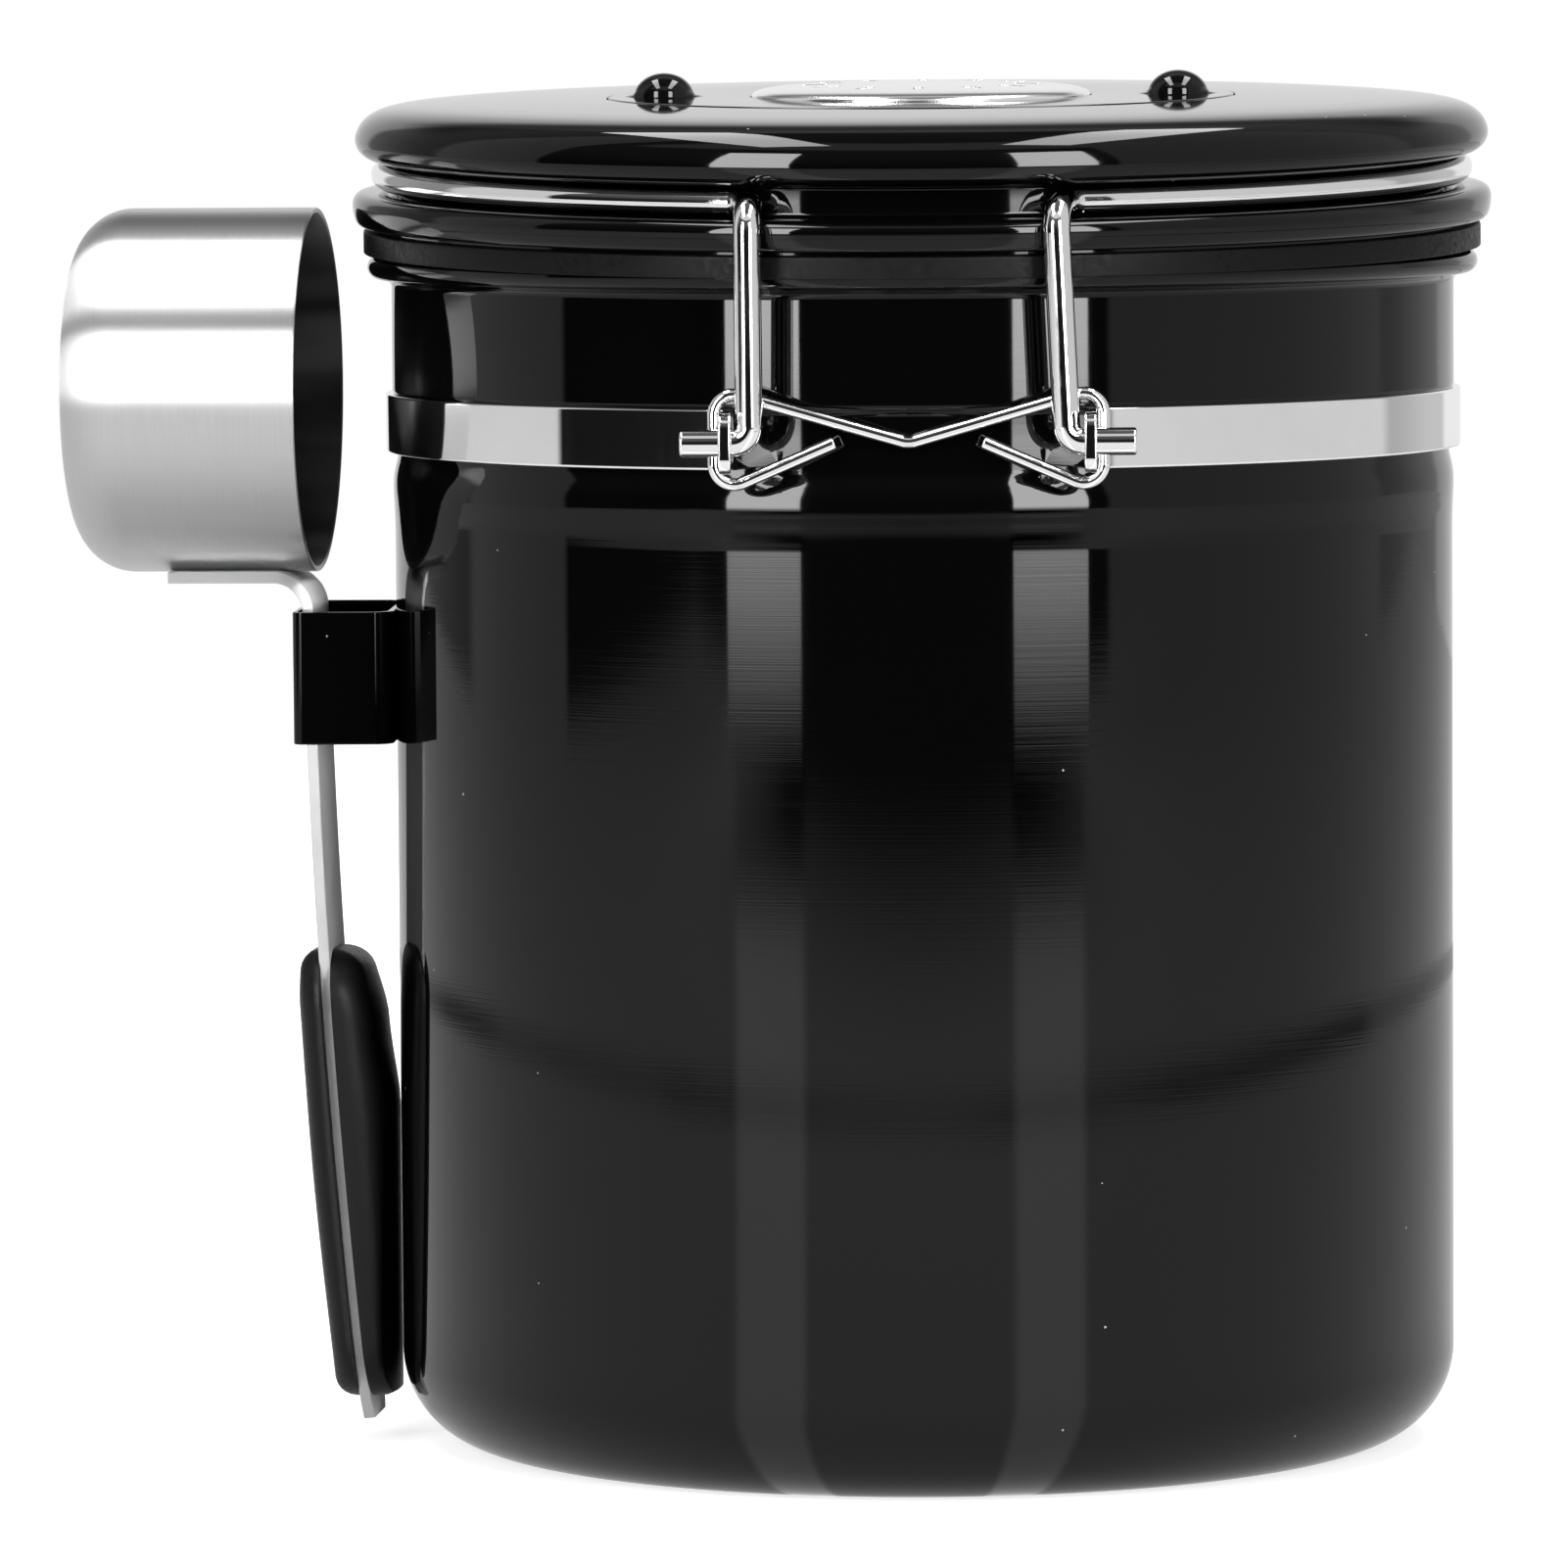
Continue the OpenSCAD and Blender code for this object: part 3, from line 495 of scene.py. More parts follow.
def fine_grain():
    """Even fine grain: a mask and a height, from noise at a stated size."""
    t, i, o = group("fine_grain", [("Size per metre", 900.0), ("Detail", 4.0)],
                    ["Mask", "Height"])
    c = node(t, "ShaderNodeTexCoord")
    n = node(t, "ShaderNodeTexNoise")
    t.links.new(c.outputs["Object"], n.inputs["Vector"])
    t.links.new(i.outputs["Size per metre"], n.inputs["Scale"])
    t.links.new(i.outputs["Detail"], n.inputs["Detail"])
    r = ramp(t, [(0.35, 0.0), (0.65, 1.0)])
    t.links.new(n.outputs["Fac"], r.inputs["Fac"])
    t.links.new(r.outputs["Color"], o.inputs["Mask"])
    t.links.new(n.outputs["Fac"], o.inputs["Height"])
    return t


def hairlines():
    """Fine parallel lines that run along U of the piece: a mask and a height."""
    t, i, o = group("hairlines", [("Lines", 900.0), ("Run", 6.0)], ["Mask", "Height"])
    k = Maths(t)
    u, v, _ = k.coordinates("UV")
    m = node(t, "ShaderNodeCombineXYZ")
    t.links.new(k.times(u, i.outputs["Run"]), m.inputs["X"])
    t.links.new(k.times(v, i.outputs["Lines"]), m.inputs["Y"])
    n = node(t, "ShaderNodeTexNoise", inputs={"Scale": 1.0, "Detail": 3.0, "Roughness": 0.6})
    t.links.new(m.outputs[0], n.inputs["Vector"])
    r = ramp(t, [(0.3, 0.0), (0.7, 1.0)])
    t.links.new(n.outputs["Fac"], r.inputs["Fac"])
    t.links.new(r.outputs["Color"], o.inputs["Mask"])
    t.links.new(n.outputs["Fac"], o.inputs["Height"])
    return t


def handling():
    """Faint patches where hands and cloths have been: a soft mask."""
    t, i, o = group("handling", [("Size per metre", 28.0)], ["Mask"])
    c = node(t, "ShaderNodeTexCoord")
    n = node(t, "ShaderNodeTexNoise", inputs={"Detail": 5.0, "Roughness": 0.62, "Distortion": 0.4})
    t.links.new(c.outputs["Object"], n.inputs["Vector"])
    t.links.new(i.outputs["Size per metre"], n.inputs["Scale"])
    r = ramp(t, [(0.42, 0.0), (0.72, 1.0)])
    t.links.new(n.outputs["Fac"], r.inputs["Fac"])
    t.links.new(r.outputs["Color"], o.inputs["Mask"])
    return t


def specks():
    """A few tiny specks of dust: a mask of small dots."""
    t, i, o = group("specks", [("Size per metre", 260.0), ("Dot", 0.05)], ["Mask"])
    c = node(t, "ShaderNodeTexCoord")
    v = node(t, "ShaderNodeTexVoronoi", feature="F1")
    t.links.new(c.outputs["Object"], v.inputs["Vector"])
    t.links.new(i.outputs["Size per metre"], v.inputs["Scale"])
    split = node(t, "ShaderNodeSeparateXYZ")
    t.links.new(v.outputs["Color"], split.inputs[0])
    k = Maths(t)
    dot = k.do("LESS_THAN", v.outputs["Distance"], i.outputs["Dot"])
    few = k.do("GREATER_THAN", split.outputs["X"], 0.84)
    t.links.new(k.times(dot, few), o.inputs["Mask"])
    return t


GRAIN, LINES, HANDS, SPECKS = fine_grain(), hairlines(), handling(), specks()


def material(name, **values):
    """A material with a Principled BSDF and its plain values."""
    m = bpy.data.materials.new(name)
    m.use_nodes = True
    t = m.node_tree
    b = t.nodes["Principled BSDF"]
    for k, v in values.items():
        b.inputs[k.replace("_", " ")].default_value = v
    return m, t, b


def use(t, tree, **values):
    """A node group placed in a material with its own values."""
    n = t.nodes.new("ShaderNodeGroup")
    n.node_tree = tree
    for k, v in values.items():
        n.inputs[k.replace("_", " ")].default_value = v
    return n


def spread(t, source, low, high, target):
    """Puts a mask on a socket as a value between low and high."""
    r = node(t, "ShaderNodeMapRange", inputs={"To Min": low, "To Max": high})
    t.links.new(source, r.inputs["Value"])
    t.links.new(r.outputs["Result"], target)


def bump(t, source, b, strength, distance):
    """Raises the shaded surface by a height."""
    n = node(t, "ShaderNodeBump", inputs={"Strength": strength, "Distance": distance})
    t.links.new(source, n.inputs["Height"])
    t.links.new(n.outputs["Normal"], b.inputs["Normal"])


def black_lacquer(name, smooth, rough, turned=False):
    """Deep black gloss paint; over turned metal it shows faint lines that run around."""
    black = (0.0008, 0.0008, 0.0009, 1)
    m, t, b = material(name, IOR=1.34)
    hands = use(t, HANDS, Size_per_metre=22.0)
    spread(t, hands.outputs["Mask"], smooth, rough, b.inputs["Roughness"])
    dust = use(t, SPECKS, Size_per_metre=240.0, Dot=0.035)
    mix = node(t, "ShaderNodeMix", data_type="RGBA")
    mix.inputs[6].default_value = black
    mix.inputs[7].default_value = (0.2, 0.2, 0.2, 1)
    t.links.new(dust.outputs["Mask"], mix.inputs[0])
    t.links.new(mix.outputs[2], b.inputs["Base Color"])
    if turned:
        lines = use(t, LINES, Lines=420.0, Run=7.0)
        bump(t, lines.outputs["Height"], b, 0.05, 0.00003)
    else:
        grain = use(t, GRAIN, Size_per_metre=420.0, Detail=2.0)
        bump(t, grain.outputs["Height"], b, 0.02, 0.0001)
    return m


def polished_steel(name, smooth, rough):
    """Mirror-bright steel with faint wiping marks."""
    m, t, b = material(name, Metallic=1.0)
    lines = use(t, LINES, Lines=260.0, Run=30.0)
    spread(t, lines.outputs["Mask"], smooth, rough, b.inputs["Roughness"])
    hands = use(t, HANDS, Size_per_metre=45.0)
    spread(t, hands.outputs["Mask"], 0.95, 0.86, b.inputs["Base Color"])
    return m


def chrome_wire():
    """Bright plated wire, a little uneven along its length."""
    m, t, b = material("chrome_wire", Base_Color=(0.86, 0.86, 0.87, 1), Metallic=1.0)
    hands = use(t, HANDS, Size_per_metre=160.0)
    spread(t, hands.outputs["Mask"], 0.03, 0.1, b.inputs["Roughness"])
    lines = use(t, LINES, Lines=2.0, Run=14.0)
    bump(t, lines.outputs["Height"], b, 0.05, 0.0002)
    return m


def brushed_steel(name, tone, inner_at=100.0, inside_shade_tone=1.0):
    """Steel brushed along U: it mirrors sharply along the lines and widely across them; past a
    length along V its colour is darkened as painted shade inside the bowl.
    """
    m, t, b = material(name, Metallic=1.0, Anisotropic=1.0, Anisotropic_Rotation=0.25)
    lines = use(t, LINES, Lines=560.0, Run=16.0)
    spread(t, lines.outputs["Mask"], 0.37, 0.43, b.inputs["Roughness"])
    shade = node(t, "ShaderNodeMapRange", inputs={"To Min": tone * 0.96, "To Max": tone * 1.04})
    t.links.new(lines.outputs["Mask"], shade.inputs["Value"])
    # past a length along V, on the inside of the bowl, the colour is darkened: painted shade
    k = Maths(t)
    painted_inside_shade = node(t, "ShaderNodeMapRange", inputs={"From Min": inner_at, "From Max": inner_at + 0.01,
                                                 "To Min": 1.0, "To Max": inside_shade_tone})
    t.links.new(k.coordinates("UV")["Y"], painted_inside_shade.inputs["Value"])
    t.links.new(k.times(shade.outputs["Result"], painted_inside_shade.outputs["Result"]), b.inputs["Base Color"])
    bump(t, lines.outputs["Height"], b, 0.05, 0.00003)
    tangent = node(t, "ShaderNodeTangent", direction_type="UV_MAP", uv_map="along")
    t.links.new(tangent.outputs[0], b.inputs["Tangent"])
    return m


def grained(name, colour, size, rough, raised=0.0, height=0.0001, detail=4.0, **values):
    """A finish whose roughness and surface follow a fine grain."""
    m, t, b = material(name, Base_Color=(*colour, 1), **values)
    grain = use(t, GRAIN, Size_per_metre=size, Detail=detail)
    spread(t, grain.outputs["Mask"], *rough, b.inputs["Roughness"])
    if raised:
        bump(t, grain.outputs["Height"], b, raised, height)
    return m


def gloss_plastic():
    """Black plastic with a moulded gloss."""
    m, t, b = material("black_gloss_plastic", Base_Color=(0.001, 0.001, 0.0011, 1), IOR=1.36)
    hands = use(t, HANDS, Size_per_metre=60.0)
    spread(t, hands.outputs["Mask"], 0.03, 0.06, b.inputs["Roughness"])
    return m


LACQUER = black_lacquer("black_lacquer", 0.03, 0.06)
CAN_LACQUER = black_lacquer("black_lacquer_can", 0.03, 0.05, True)
STEEL = polished_steel("polished_steel", 0.025, 0.06)
VENT_STEEL = polished_steel("polished_vent", 0.16, 0.2)
# the bowl's inside is darkened to a fifth of its tone: painted shade
BOWL_STEEL = brushed_steel("brushed_bowl", 0.6, 0.455, 0.2)
STRIP_STEEL = brushed_steel("brushed_strip", 0.62)
WIRE, GLOSS = chrome_wire(), gloss_plastic()
MESH = grained("wire_mesh", (0.5, 0.5, 0.5), 2200.0, (0.25, 0.5), 0.4, detail=1.0, Metallic=1.0)
SILICONE = grained("black_silicone", (0.002, 0.002, 0.002), 1500.0, (0.36, 0.55), 0.15, 0.00005,
                   IOR=1.2)
SATIN = grained("black_matte_plastic", (0.0022, 0.0022, 0.0024), 2600.0, (0.34, 0.48), 0.2,
                0.00004, 3.0, IOR=1.27)
PALE = grained("white_silicone", (0.6, 0.6, 0.57), 1200.0, (0.42, 0.6))


# ---------------------------------------------------------------- the can
def can():
    """The lacquered can, turned from its outer and inner outline."""
    outer = [(0, 1.2), (40, 1.2)] + flow([(42.5, 1.15), (44.2, 0.6), (46, 0.08), (48.6, 0)], 4)
    outer += arc(49, 11, 11, -88, 0, 24)
    outer += [(BODY_R, z) for z in (14, 40, 80, 100)]
    outer += flow([(60, 104.3), (60.04, 106.1), (60.11, 107.7), (60.16, 109.1), (60.1, 110.3),
                   (59.93, 111.3), (59.74, 112.1), (59.63, 112.7), (59.6, 113.2)], 6)
    outer += [(59.6, BAND_Z), (59.6, 119.0)]
    outer += flow([(59.63, 119.25), (59.8, 119.55), (60.06, 119.8), (60.18, 120.1),
                   (60.2, 120.5)], 4)
    outer += [(60.2, 124), (60.2, 131.6)]
    outer += arc(60.95, 131.75, 0.75, 180, 105, 6)
    outer += arc(61.55, 134.05, 1.35, -96, 90, 22)
    inner = arc(60.15, 134.65, 0.75, 90, 180, 8)
    inner += [(59.4, 131.6), (59.4, 125.8), (59.3, 123.6), (58.95, 121.6), (58.8, 120.2),
              (58.8, 113), (58.9, 111.6), (59.15, 110), (59.2, 107), (59.2, 100), (59.2, 60),
              (59.2, 14)]
    inner += arc(49, 11, 10.2, 0, -88, 20)
    inner += [(46, 0.9), (42.5, 2.0), (0, 2.0)]
    make("can_shell", lathe(outer + inner, 320), CAN_LACQUER, "canister", "can_body")


# ---------------------------------------------------------------- the band
def ear_plate(y0, pivot_y, side):
    """An ear in the plane across X, on the -Y or +Y side, pierced for the wire."""
    end, h = pivot_y + EAR_REACH, EAR_H
    outline = rounded_corners([(y0, -h / 2), (end, -h / 2), (end, h / 2), (y0, h / 2)],
                              [0, 1.6, 1.6, 0], 8)
    part = plate(outline, EAR_T, 0.18, [circle(pivot_y, 0, WIRE_R + 0.05, 40)])
    return moved(part, Matrix(((0, 0, 1, EAR_X), (side, 0, 0, 0), (0, 1, 0, BAND_Z),
                               (0, 0, 0, 1))))


def band():
    """The strap round the neck, open at the hinge between its two ears."""
    r_in = 59.62
    gap = math.asin(19.4 / (r_in + EAR_T))
    strap = hoop(r_in, EAR_T, 0.28, -math.pi / 2 + gap, TAU - 2 * gap, 240)
    ear = ear_plate(56.6, -HINGE_Y, -1)
    make("neck_strap", merge(strap, ear, flipped(ear)), STEEL, "canister", "clamp_band")


def latch_plate():
    """A short plate on the strap at the back, with two ears for the lever."""
    r_in = 60.94
    half = math.asin(23 / r_in)
    strap = hoop(r_in, 1.0, 0.22, math.pi / 2 - half, 2 * half, 60)
    ear = ear_plate(58.1, LEVER_Y, 1)
    make("latch_ears", merge(strap, ear, flipped(ear)), STEEL, "canister", "latch_bracket")


def clip():
    """The thin bow-tie wire that hooks both ears and pulls the strap tight."""
    y = HINGE_Y + WIRE_R + CLIP_R + 0.6
    out = EAR_X + EAR_T / 2 + CLIP_R + 0.02
    high = BAND_Z + out * math.tan(math.radians(16)) - 0.2
    half = [(8, y, BAND_Z - 0.15), (out, y, BAND_Z - 5.75), (out, y, high)]
    path = half + [(0, y, BAND_Z - 0.2)] + other_half(half)
    part = tube(bent(path, [2.2, 2.2, 2.6, 2.2, 2.2], 14), CLIP_R, 20, ends=0.18)
    make("clip_wire", part, WIRE, "canister", "tension_clip")


# ---------------------------------------------------------------- scoop sleeve
def sleeve():
    """The folded sheet sleeve; its back follows the can's wall."""
    back, out, t = 59.75, 71.1, 0.6
    # corner radii away from the can and on it, and half the width
    fc, bc, hw = 1.2, 2.6, 12.0
    low, h = 80.3, 15.0
    outer = rounded_corners([(-out, -hw), (-back, -hw), (-back, hw), (-out, hw)],
                            [fc, bc, bc, fc], 8)
    face = -out + 0.42
    inner = rounded_corners([(face, -hw + t), (-60.5, -hw + t), (-60.5, hw - t),
                             (face, hw - t)], [fc - t + 0.1, bc - t, bc - t, fc - t + 0.1], 8)
    clear = [(min(x, -math.sqrt((BODY_R + 0.02) ** 2 - y * y)), y) for x, y in outer]
    part = moved(plate(clear, h, 0.16, [inner]), Matrix.Translation((0, 0, low + h / 2)))
    make("sleeve", part, LACQUER, "canister", "scoop_bracket", sharp=40)


# ---------------------------------------------------------------- the lid
def lid():
    """The domed cover with its groove and flange, the pan under it and the gasket."""
    top = LID_TOP
    prof = [(35.62, 149.8), (35.62, top - 0.12), (35.75, top), (43, top - 0.06)]
    prof += flow([(52, top - 0.22), (57, top - 0.42), (59.6, top - 0.68), (61.4, top - 1.13),
                  (62.5, top - 1.72), (63.4, top - 2.6), (63.95, top - 3.7), (64.1, 146.5),
                  (63.85, 145.6), (63.3, 144.95), (62.6, 144.55), (61.9, 144.36), (61.2, 144.3)], 6)
    prof += [(59.75, 144.3)]
    prof += arc(59.75, 143.85, 0.5, 90, 180, 5)
    prof += [(59.25, 142.6), (59.25, 141.35)]
    prof += arc(59.75, 141.35, 0.5, 180, 270, 5)
    prof += flow([(61, 140.85), (62.6, 140.84), (63.6, 140.65), (64.2, 140.2), (64.43, 139.6),
                  (64.43, 138.9), (64.33, 138.2), (64.1, 137.5), (63.7, 137.1), (63.2, 137.0)], 5)
    inner = [(62.2, 137.0), (62.9, 138.5), (62.6, 139.5), (57.95, 139.55), (57.95, 145.6),
             (62, 146), (62.8, 146.6), (61.4, 148.8), (58.1, 149.1), (36.9, 149.6),
             (36.9, 148.45), (9.54, 148.45), (9.54, 149.75), (35.6, 149.75)]
    make("lid_dome", lathe(prof + inner, 320), LACQUER, "lid", "lid_cover",
         on_lid)
    pan = [(9.54, 134.13), (9.54, 133.45)] + arc(53, 134.95, 1.5, -90, 0, 8)
    pan += [(54.5, 136.3), (62.2, 136.3), (62.2, 136.98), (53.8, 136.98), (53.8, 134.95),
            (53, 134.15)]
    make("lid_pan", lathe(pan), GLOSS, "lid", "lid_liner", on_lid)
    ring = [(54.52, 135.45), (62.98, 135.45), (62.98, 133.98)]
    ring += [(63.02, 133.95), (63.2, 133.97), (63.25, 134.05), (63.25, 136.2)]
    ring += [(63.15, 136.45), (62.9, 136.62), (62.22, 136.62), (62.22, 136.28), (54.52, 136.28)]
    make("seal", lathe(ring, 320), SILICONE, "lid", "lid_gasket", on_lid)


def hinge_wire():
    """The wire ring in the lid's groove, its two legs, and the feet that are the hinge pins."""
    bend, leg = 3.0, 17.1
    end = math.asin((leg + bend) / RING_R)
    pts, steps = [], 220
    for i in range(steps + 1):
        a = -math.pi / 2 + end + (TAU - 2 * end) * i / steps
        pts.append((RING_R * math.cos(a), RING_R * math.sin(a), WIRE_Z))
    run = bend / math.cos(end)
    turn = (pts[0][0] - run * math.cos(end), pts[0][1] - run * math.sin(end), WIRE_Z)

    def leg_path(s):
        top = 16.0 if s > 0 else 17.2
        return [(s * turn[0], turn[1], WIRE_Z), (s * top, HINGE_Y, WIRE_Z - 0.9),
                (s * leg, HINGE_Y, BAND_Z), (s * 24.6, HINGE_Y, BAND_Z)]

    right = bent([pts[1], pts[0]] + leg_path(1), [400, bend, 2.6, 1.8], 14)
    left = bent([pts[-2], pts[-1]] + leg_path(-1), [400, bend, 2.6, 1.8], 14)
    path = right[::-1][:-2] + [Vector(p) for p in pts[1:-1]] + left[2:]
    make("hinge_wire", tube(path, WIRE_R, 32, ends=0.3), WIRE, "lid", "lid_wire",
         on_lid)


def nub(x):
    """A finger nub with a low pointed base on each side."""
    rows, sides = 40, 72
    bm = bmesh.new()
    points = []
    for j in range(rows + 1):
        for i in range(sides):
            c, s = math.cos(TAU * i / sides), math.sin(TAU * i / sides)
            skirt = 3.5 + 2.0 * abs(c) ** 8
            r = skirt * (j / rows)
            dome = 2.76 * math.sqrt(max(0.0, 1 - (r / 3.42) ** 2))
            low = 0.5 * max(0.0, 1 - max(0.0, (r - 2.9)) / max(skirt - 2.9, 1e-6)) ** 1.4
            points.append(bm.verts.new((x + r * c, r * s, LID_TOP - 0.02 + max(dome, low))))
    for face in stitched(rows + 1, sides)[:-2]:
        bm.faces.new([points[k] for k in face])
    bmesh.ops.remove_doubles(bm, verts=bm.verts, dist=1e-4)
    bm.verts.index_update()
    out = [v.co.copy() for v in bm.verts], [[v.index for v in f.verts] for f in bm.faces], None
    bm.free()
    return out


def cut_slots(cap):
    """Cuts the ring of air slots through the vent disc."""
    count, lift = 12, Matrix.Translation((0, 0, 152))
    outline = rounded_corners([(10.4, -0.55), (13.6, -0.55), (13.6, 0.55), (10.4, 0.55)], 0.5, 4)
    slot = plate(outline, 4.0, 0.02, steps=1)
    verts, faces, _ = merge(*(moved(slot, Matrix.Rotation(TAU * i / count, 4, "Z") @ lift)
                              for i in range(count)))
    tool = bpy.data.meshes.new("slots")
    tool.from_pydata([on_lid(v) * MM for v in verts], [], faces)
    finish_mesh(tool, 30)
    cutter = bpy.data.objects.new("slots", tool)
    bpy.context.scene.collection.objects.link(cutter)
    cut = cap.modifiers.new("slots", "BOOLEAN")
    cut.object, cut.operation, cut.solver = cutter, "DIFFERENCE", "EXACT"
    cap.modifiers.move(1, 0)
    bpy.context.view_layer.update()
    seen = cap.evaluated_get(bpy.context.evaluated_depsgraph_get())
    made = bpy.data.meshes.new_from_object(seen)
    cap.modifiers.remove(cut)
    old, cap.data = cap.data, made
    made.name = "vent_cap"
    bpy.data.meshes.remove(old)
    bpy.data.objects.remove(cutter)
    bpy.data.meshes.remove(tool)


def dial():
    """The date dial with its two nubs, and the vent disc in its middle."""
    top, nub_at = LID_TOP + 0.1, 29.1
    prof = [(15.9, 149.8), (35.4, 149.8), (35.4, top - 0.22)]
    prof += arc(35.18, top - 0.22, 0.22, 0, 90, 4)
    prof += [(19.65, top), (19.35, top - 0.12), (19.35, top - 0.8), (15.9, top - 0.8)]
    make("dial_ring", merge(lathe(prof), nub(nub_at), nub(-nub_at)), GLOSS, "dial", "date_dial",
         on_lid)
    prof = [(0, 152.5)] + flow([(4, 152.49), (10, 152.44), (14, 152.36), (16.5, 152.2),
                                (18, 151.96), (18.8, 151.68), (19.12, 151.38), (19.2, 151.0)], 5)
    prof += [(19.2, 150.5), (18.6, 150.5), (18.6, 151), (16, 151.6), (15.8, 150.4), (15.42, 150.4),
             (15.42, 151.7), (0, 151.9)]
    cut_slots(make("vent_cap", lathe(prof), VENT_STEEL, "lid", "vent_disc",
                   on_lid))


# ---------------------------------------------------------------- the latch
def latch():
    """The wire lever with its eyes and finger loop, and the link that hooks the lid."""
    pin, arm, link_at = LATCH_PIN, 17, 13.3

    def lever_side(s):
        end = pin - Vector((0, pin.y - LEVER_Y, pin.z - BAND_Z)).normalized() * WIRE_R
        wire = tube(bent([(s * 23.06, LEVER_Y, BAND_Z), (s * arm, LEVER_Y, BAND_Z),
                          (s * arm, end.y, end.z)], [1.8], 14), WIRE_R, ends=0.3)
        eye = plate(circle(0, 0, 2.9, 40), 2.4, 0.5, [circle(0, 0, 1.15, 28)])
        m = Matrix(((0, 0, 1, s * arm), (1, 0, 0, pin.y), (0, 1, 0, pin.z), (0, 0, 0, 1)))
        return merge(wire, moved(eye, m))

    half = [(arm, pin.y, pin.z - WIRE_R), (arm, pin.y, pin.z - 12), (arm, pin.y + 5, 82)]
    loop = tube(bent(half + other_half(half), [10, 6, 6, 10], 18), WIRE_R, ends=0.3)
    make("lever_wire", merge(lever_side(1), lever_side(-1), loop), WIRE, "lever", "latch_lever")
    reach, hook = 36.2924, 0.95
    long = math.sqrt(reach ** 2 - hook ** 2)
    drape = math.radians(15.8482)
    half = [(19.1, 0, 0), (link_at, 0, 0), (link_at, 0, 3 - long), (link_at, hook, -long)]
    part = tube(bent(half + other_half(half), [1.6, 4, 1.6, 1.6, 4, 1.6], 12), LINK_R, 24,
                ends=0.25)
    make("link_wire", moved(part, Matrix.Translation(pin) @ Matrix.Rotation(drape, 4, "X")),
         WIRE, "link", "latch_link")


# ---------------------------------------------------------------- the scoop
def strip_x(z):
    """Where the middle of the strip's thickness is, at a height below its bend."""
    down = BEND_Z - z
    return BAR_X + down * math.tan(math.radians(1.1)) + 0.000488 * down * down


def bowl():
    """The brushed measuring bowl, its mouth towards the lid."""
    r, w, length, corner = 20.7, 0.6, 27.4, 6.5
    outer = [(r - 0.12, 0), (r, 0.12), (r, 5), (r, 12)]
    outer += arc(r - corner, length - corner, corner, 0, 80, 18)
    outer += flow([(10, length + 0.05), (5, length + 0.15), (0, length + 0.2)], 4)
    inner = [(0, length + 0.2 - w)] + flow([(5, length + 0.15 - w), (10, length + 0.05 - w)], 4)
    inner += arc(r - corner, length - corner, corner - w, 80, 0, 18)
    inner += [(r - w, 12), (r - w, 5), (r - w, 0.12), (r - w + 0.12, 0)]
    m = Matrix(((0, 0, -1, -68.8), (0, 1, 0, 0), (1, 0, 0, 120), (0, 0, 0, 1)))
    make("bowl", moved(lathe(outer + inner), m), BOWL_STEEL, "scoop", "scoop_bowl",
         on_scoop)


def strip():
    """The bent strip under the bowl, narrowed at its lower end."""
    bar_top, t, wide = 99.55, STRIP_T, 13.0
    turn_r = 3.3 + t / 2
    bar_x = BAR_X - turn_r
    centre = [(bar_x - 12, bar_top - t / 2), (bar_x - 6, bar_top - t / 2)]
    centre += arc(bar_x, BEND_Z, turn_r, 88, 0, 16)
    centre += [(strip_x(z), z) for z in [BEND_Z - (BEND_Z - 2.7) * i / 40 for i in range(1, 41)]]
    widths = [1.0] * (len(centre) - 4) + [0.99, 0.96, 0.88, 0.7]
    section = rounded_corners([(-wide / 2, -t / 2), (wide / 2, -t / 2), (wide / 2, t / 2),
                               (-wide / 2, t / 2)], 0.2, 3)
    verts, uvs = [], []
    for i, ((x, z), width) in enumerate(zip(centre, widths)):
        a, b = centre[max(i - 1, 0)], centre[min(i + 1, len(centre) - 1)]
        d = Vector((b[0] - a[0], b[1] - a[1])).normalized()
        verts += [(x - d.y * q, y * width, z + d.x * q) for y, q in section]
    for i in range(len(centre) - 1):
        u0, u1 = i * 0.02, (i + 1) * 0.02
        for (y, _), (y2, _) in zip(section, section[1:] + section[:1]):
            v0, v1 = y * UV_PER_MM, y2 * UV_PER_MM
            uvs.append([(u0, v0), (u0, v1), (u1, v1), (u1, v0)])
    uvs += [[(0, 0)] * len(section)] * 2
    make("handle_strip", (verts, stitched(len(centre), len(section)), uvs), STRIP_STEEL, "scoop",
         "scoop_handle", on_scoop)


def eased(z, table):
    """A value read off a list of (z, value) from the top down, with no corners between."""
    for (z0, v0), (z1, v1) in zip(table, table[1:]):
        if z0 >= z >= z1:
            k = (z0 - z) / (z0 - z1)
            k = k * k * (3 - 2 * k)
            return v0 + (v1 - v0) * k
    return table[-1][1] if z < table[-1][0] else table[0][1]


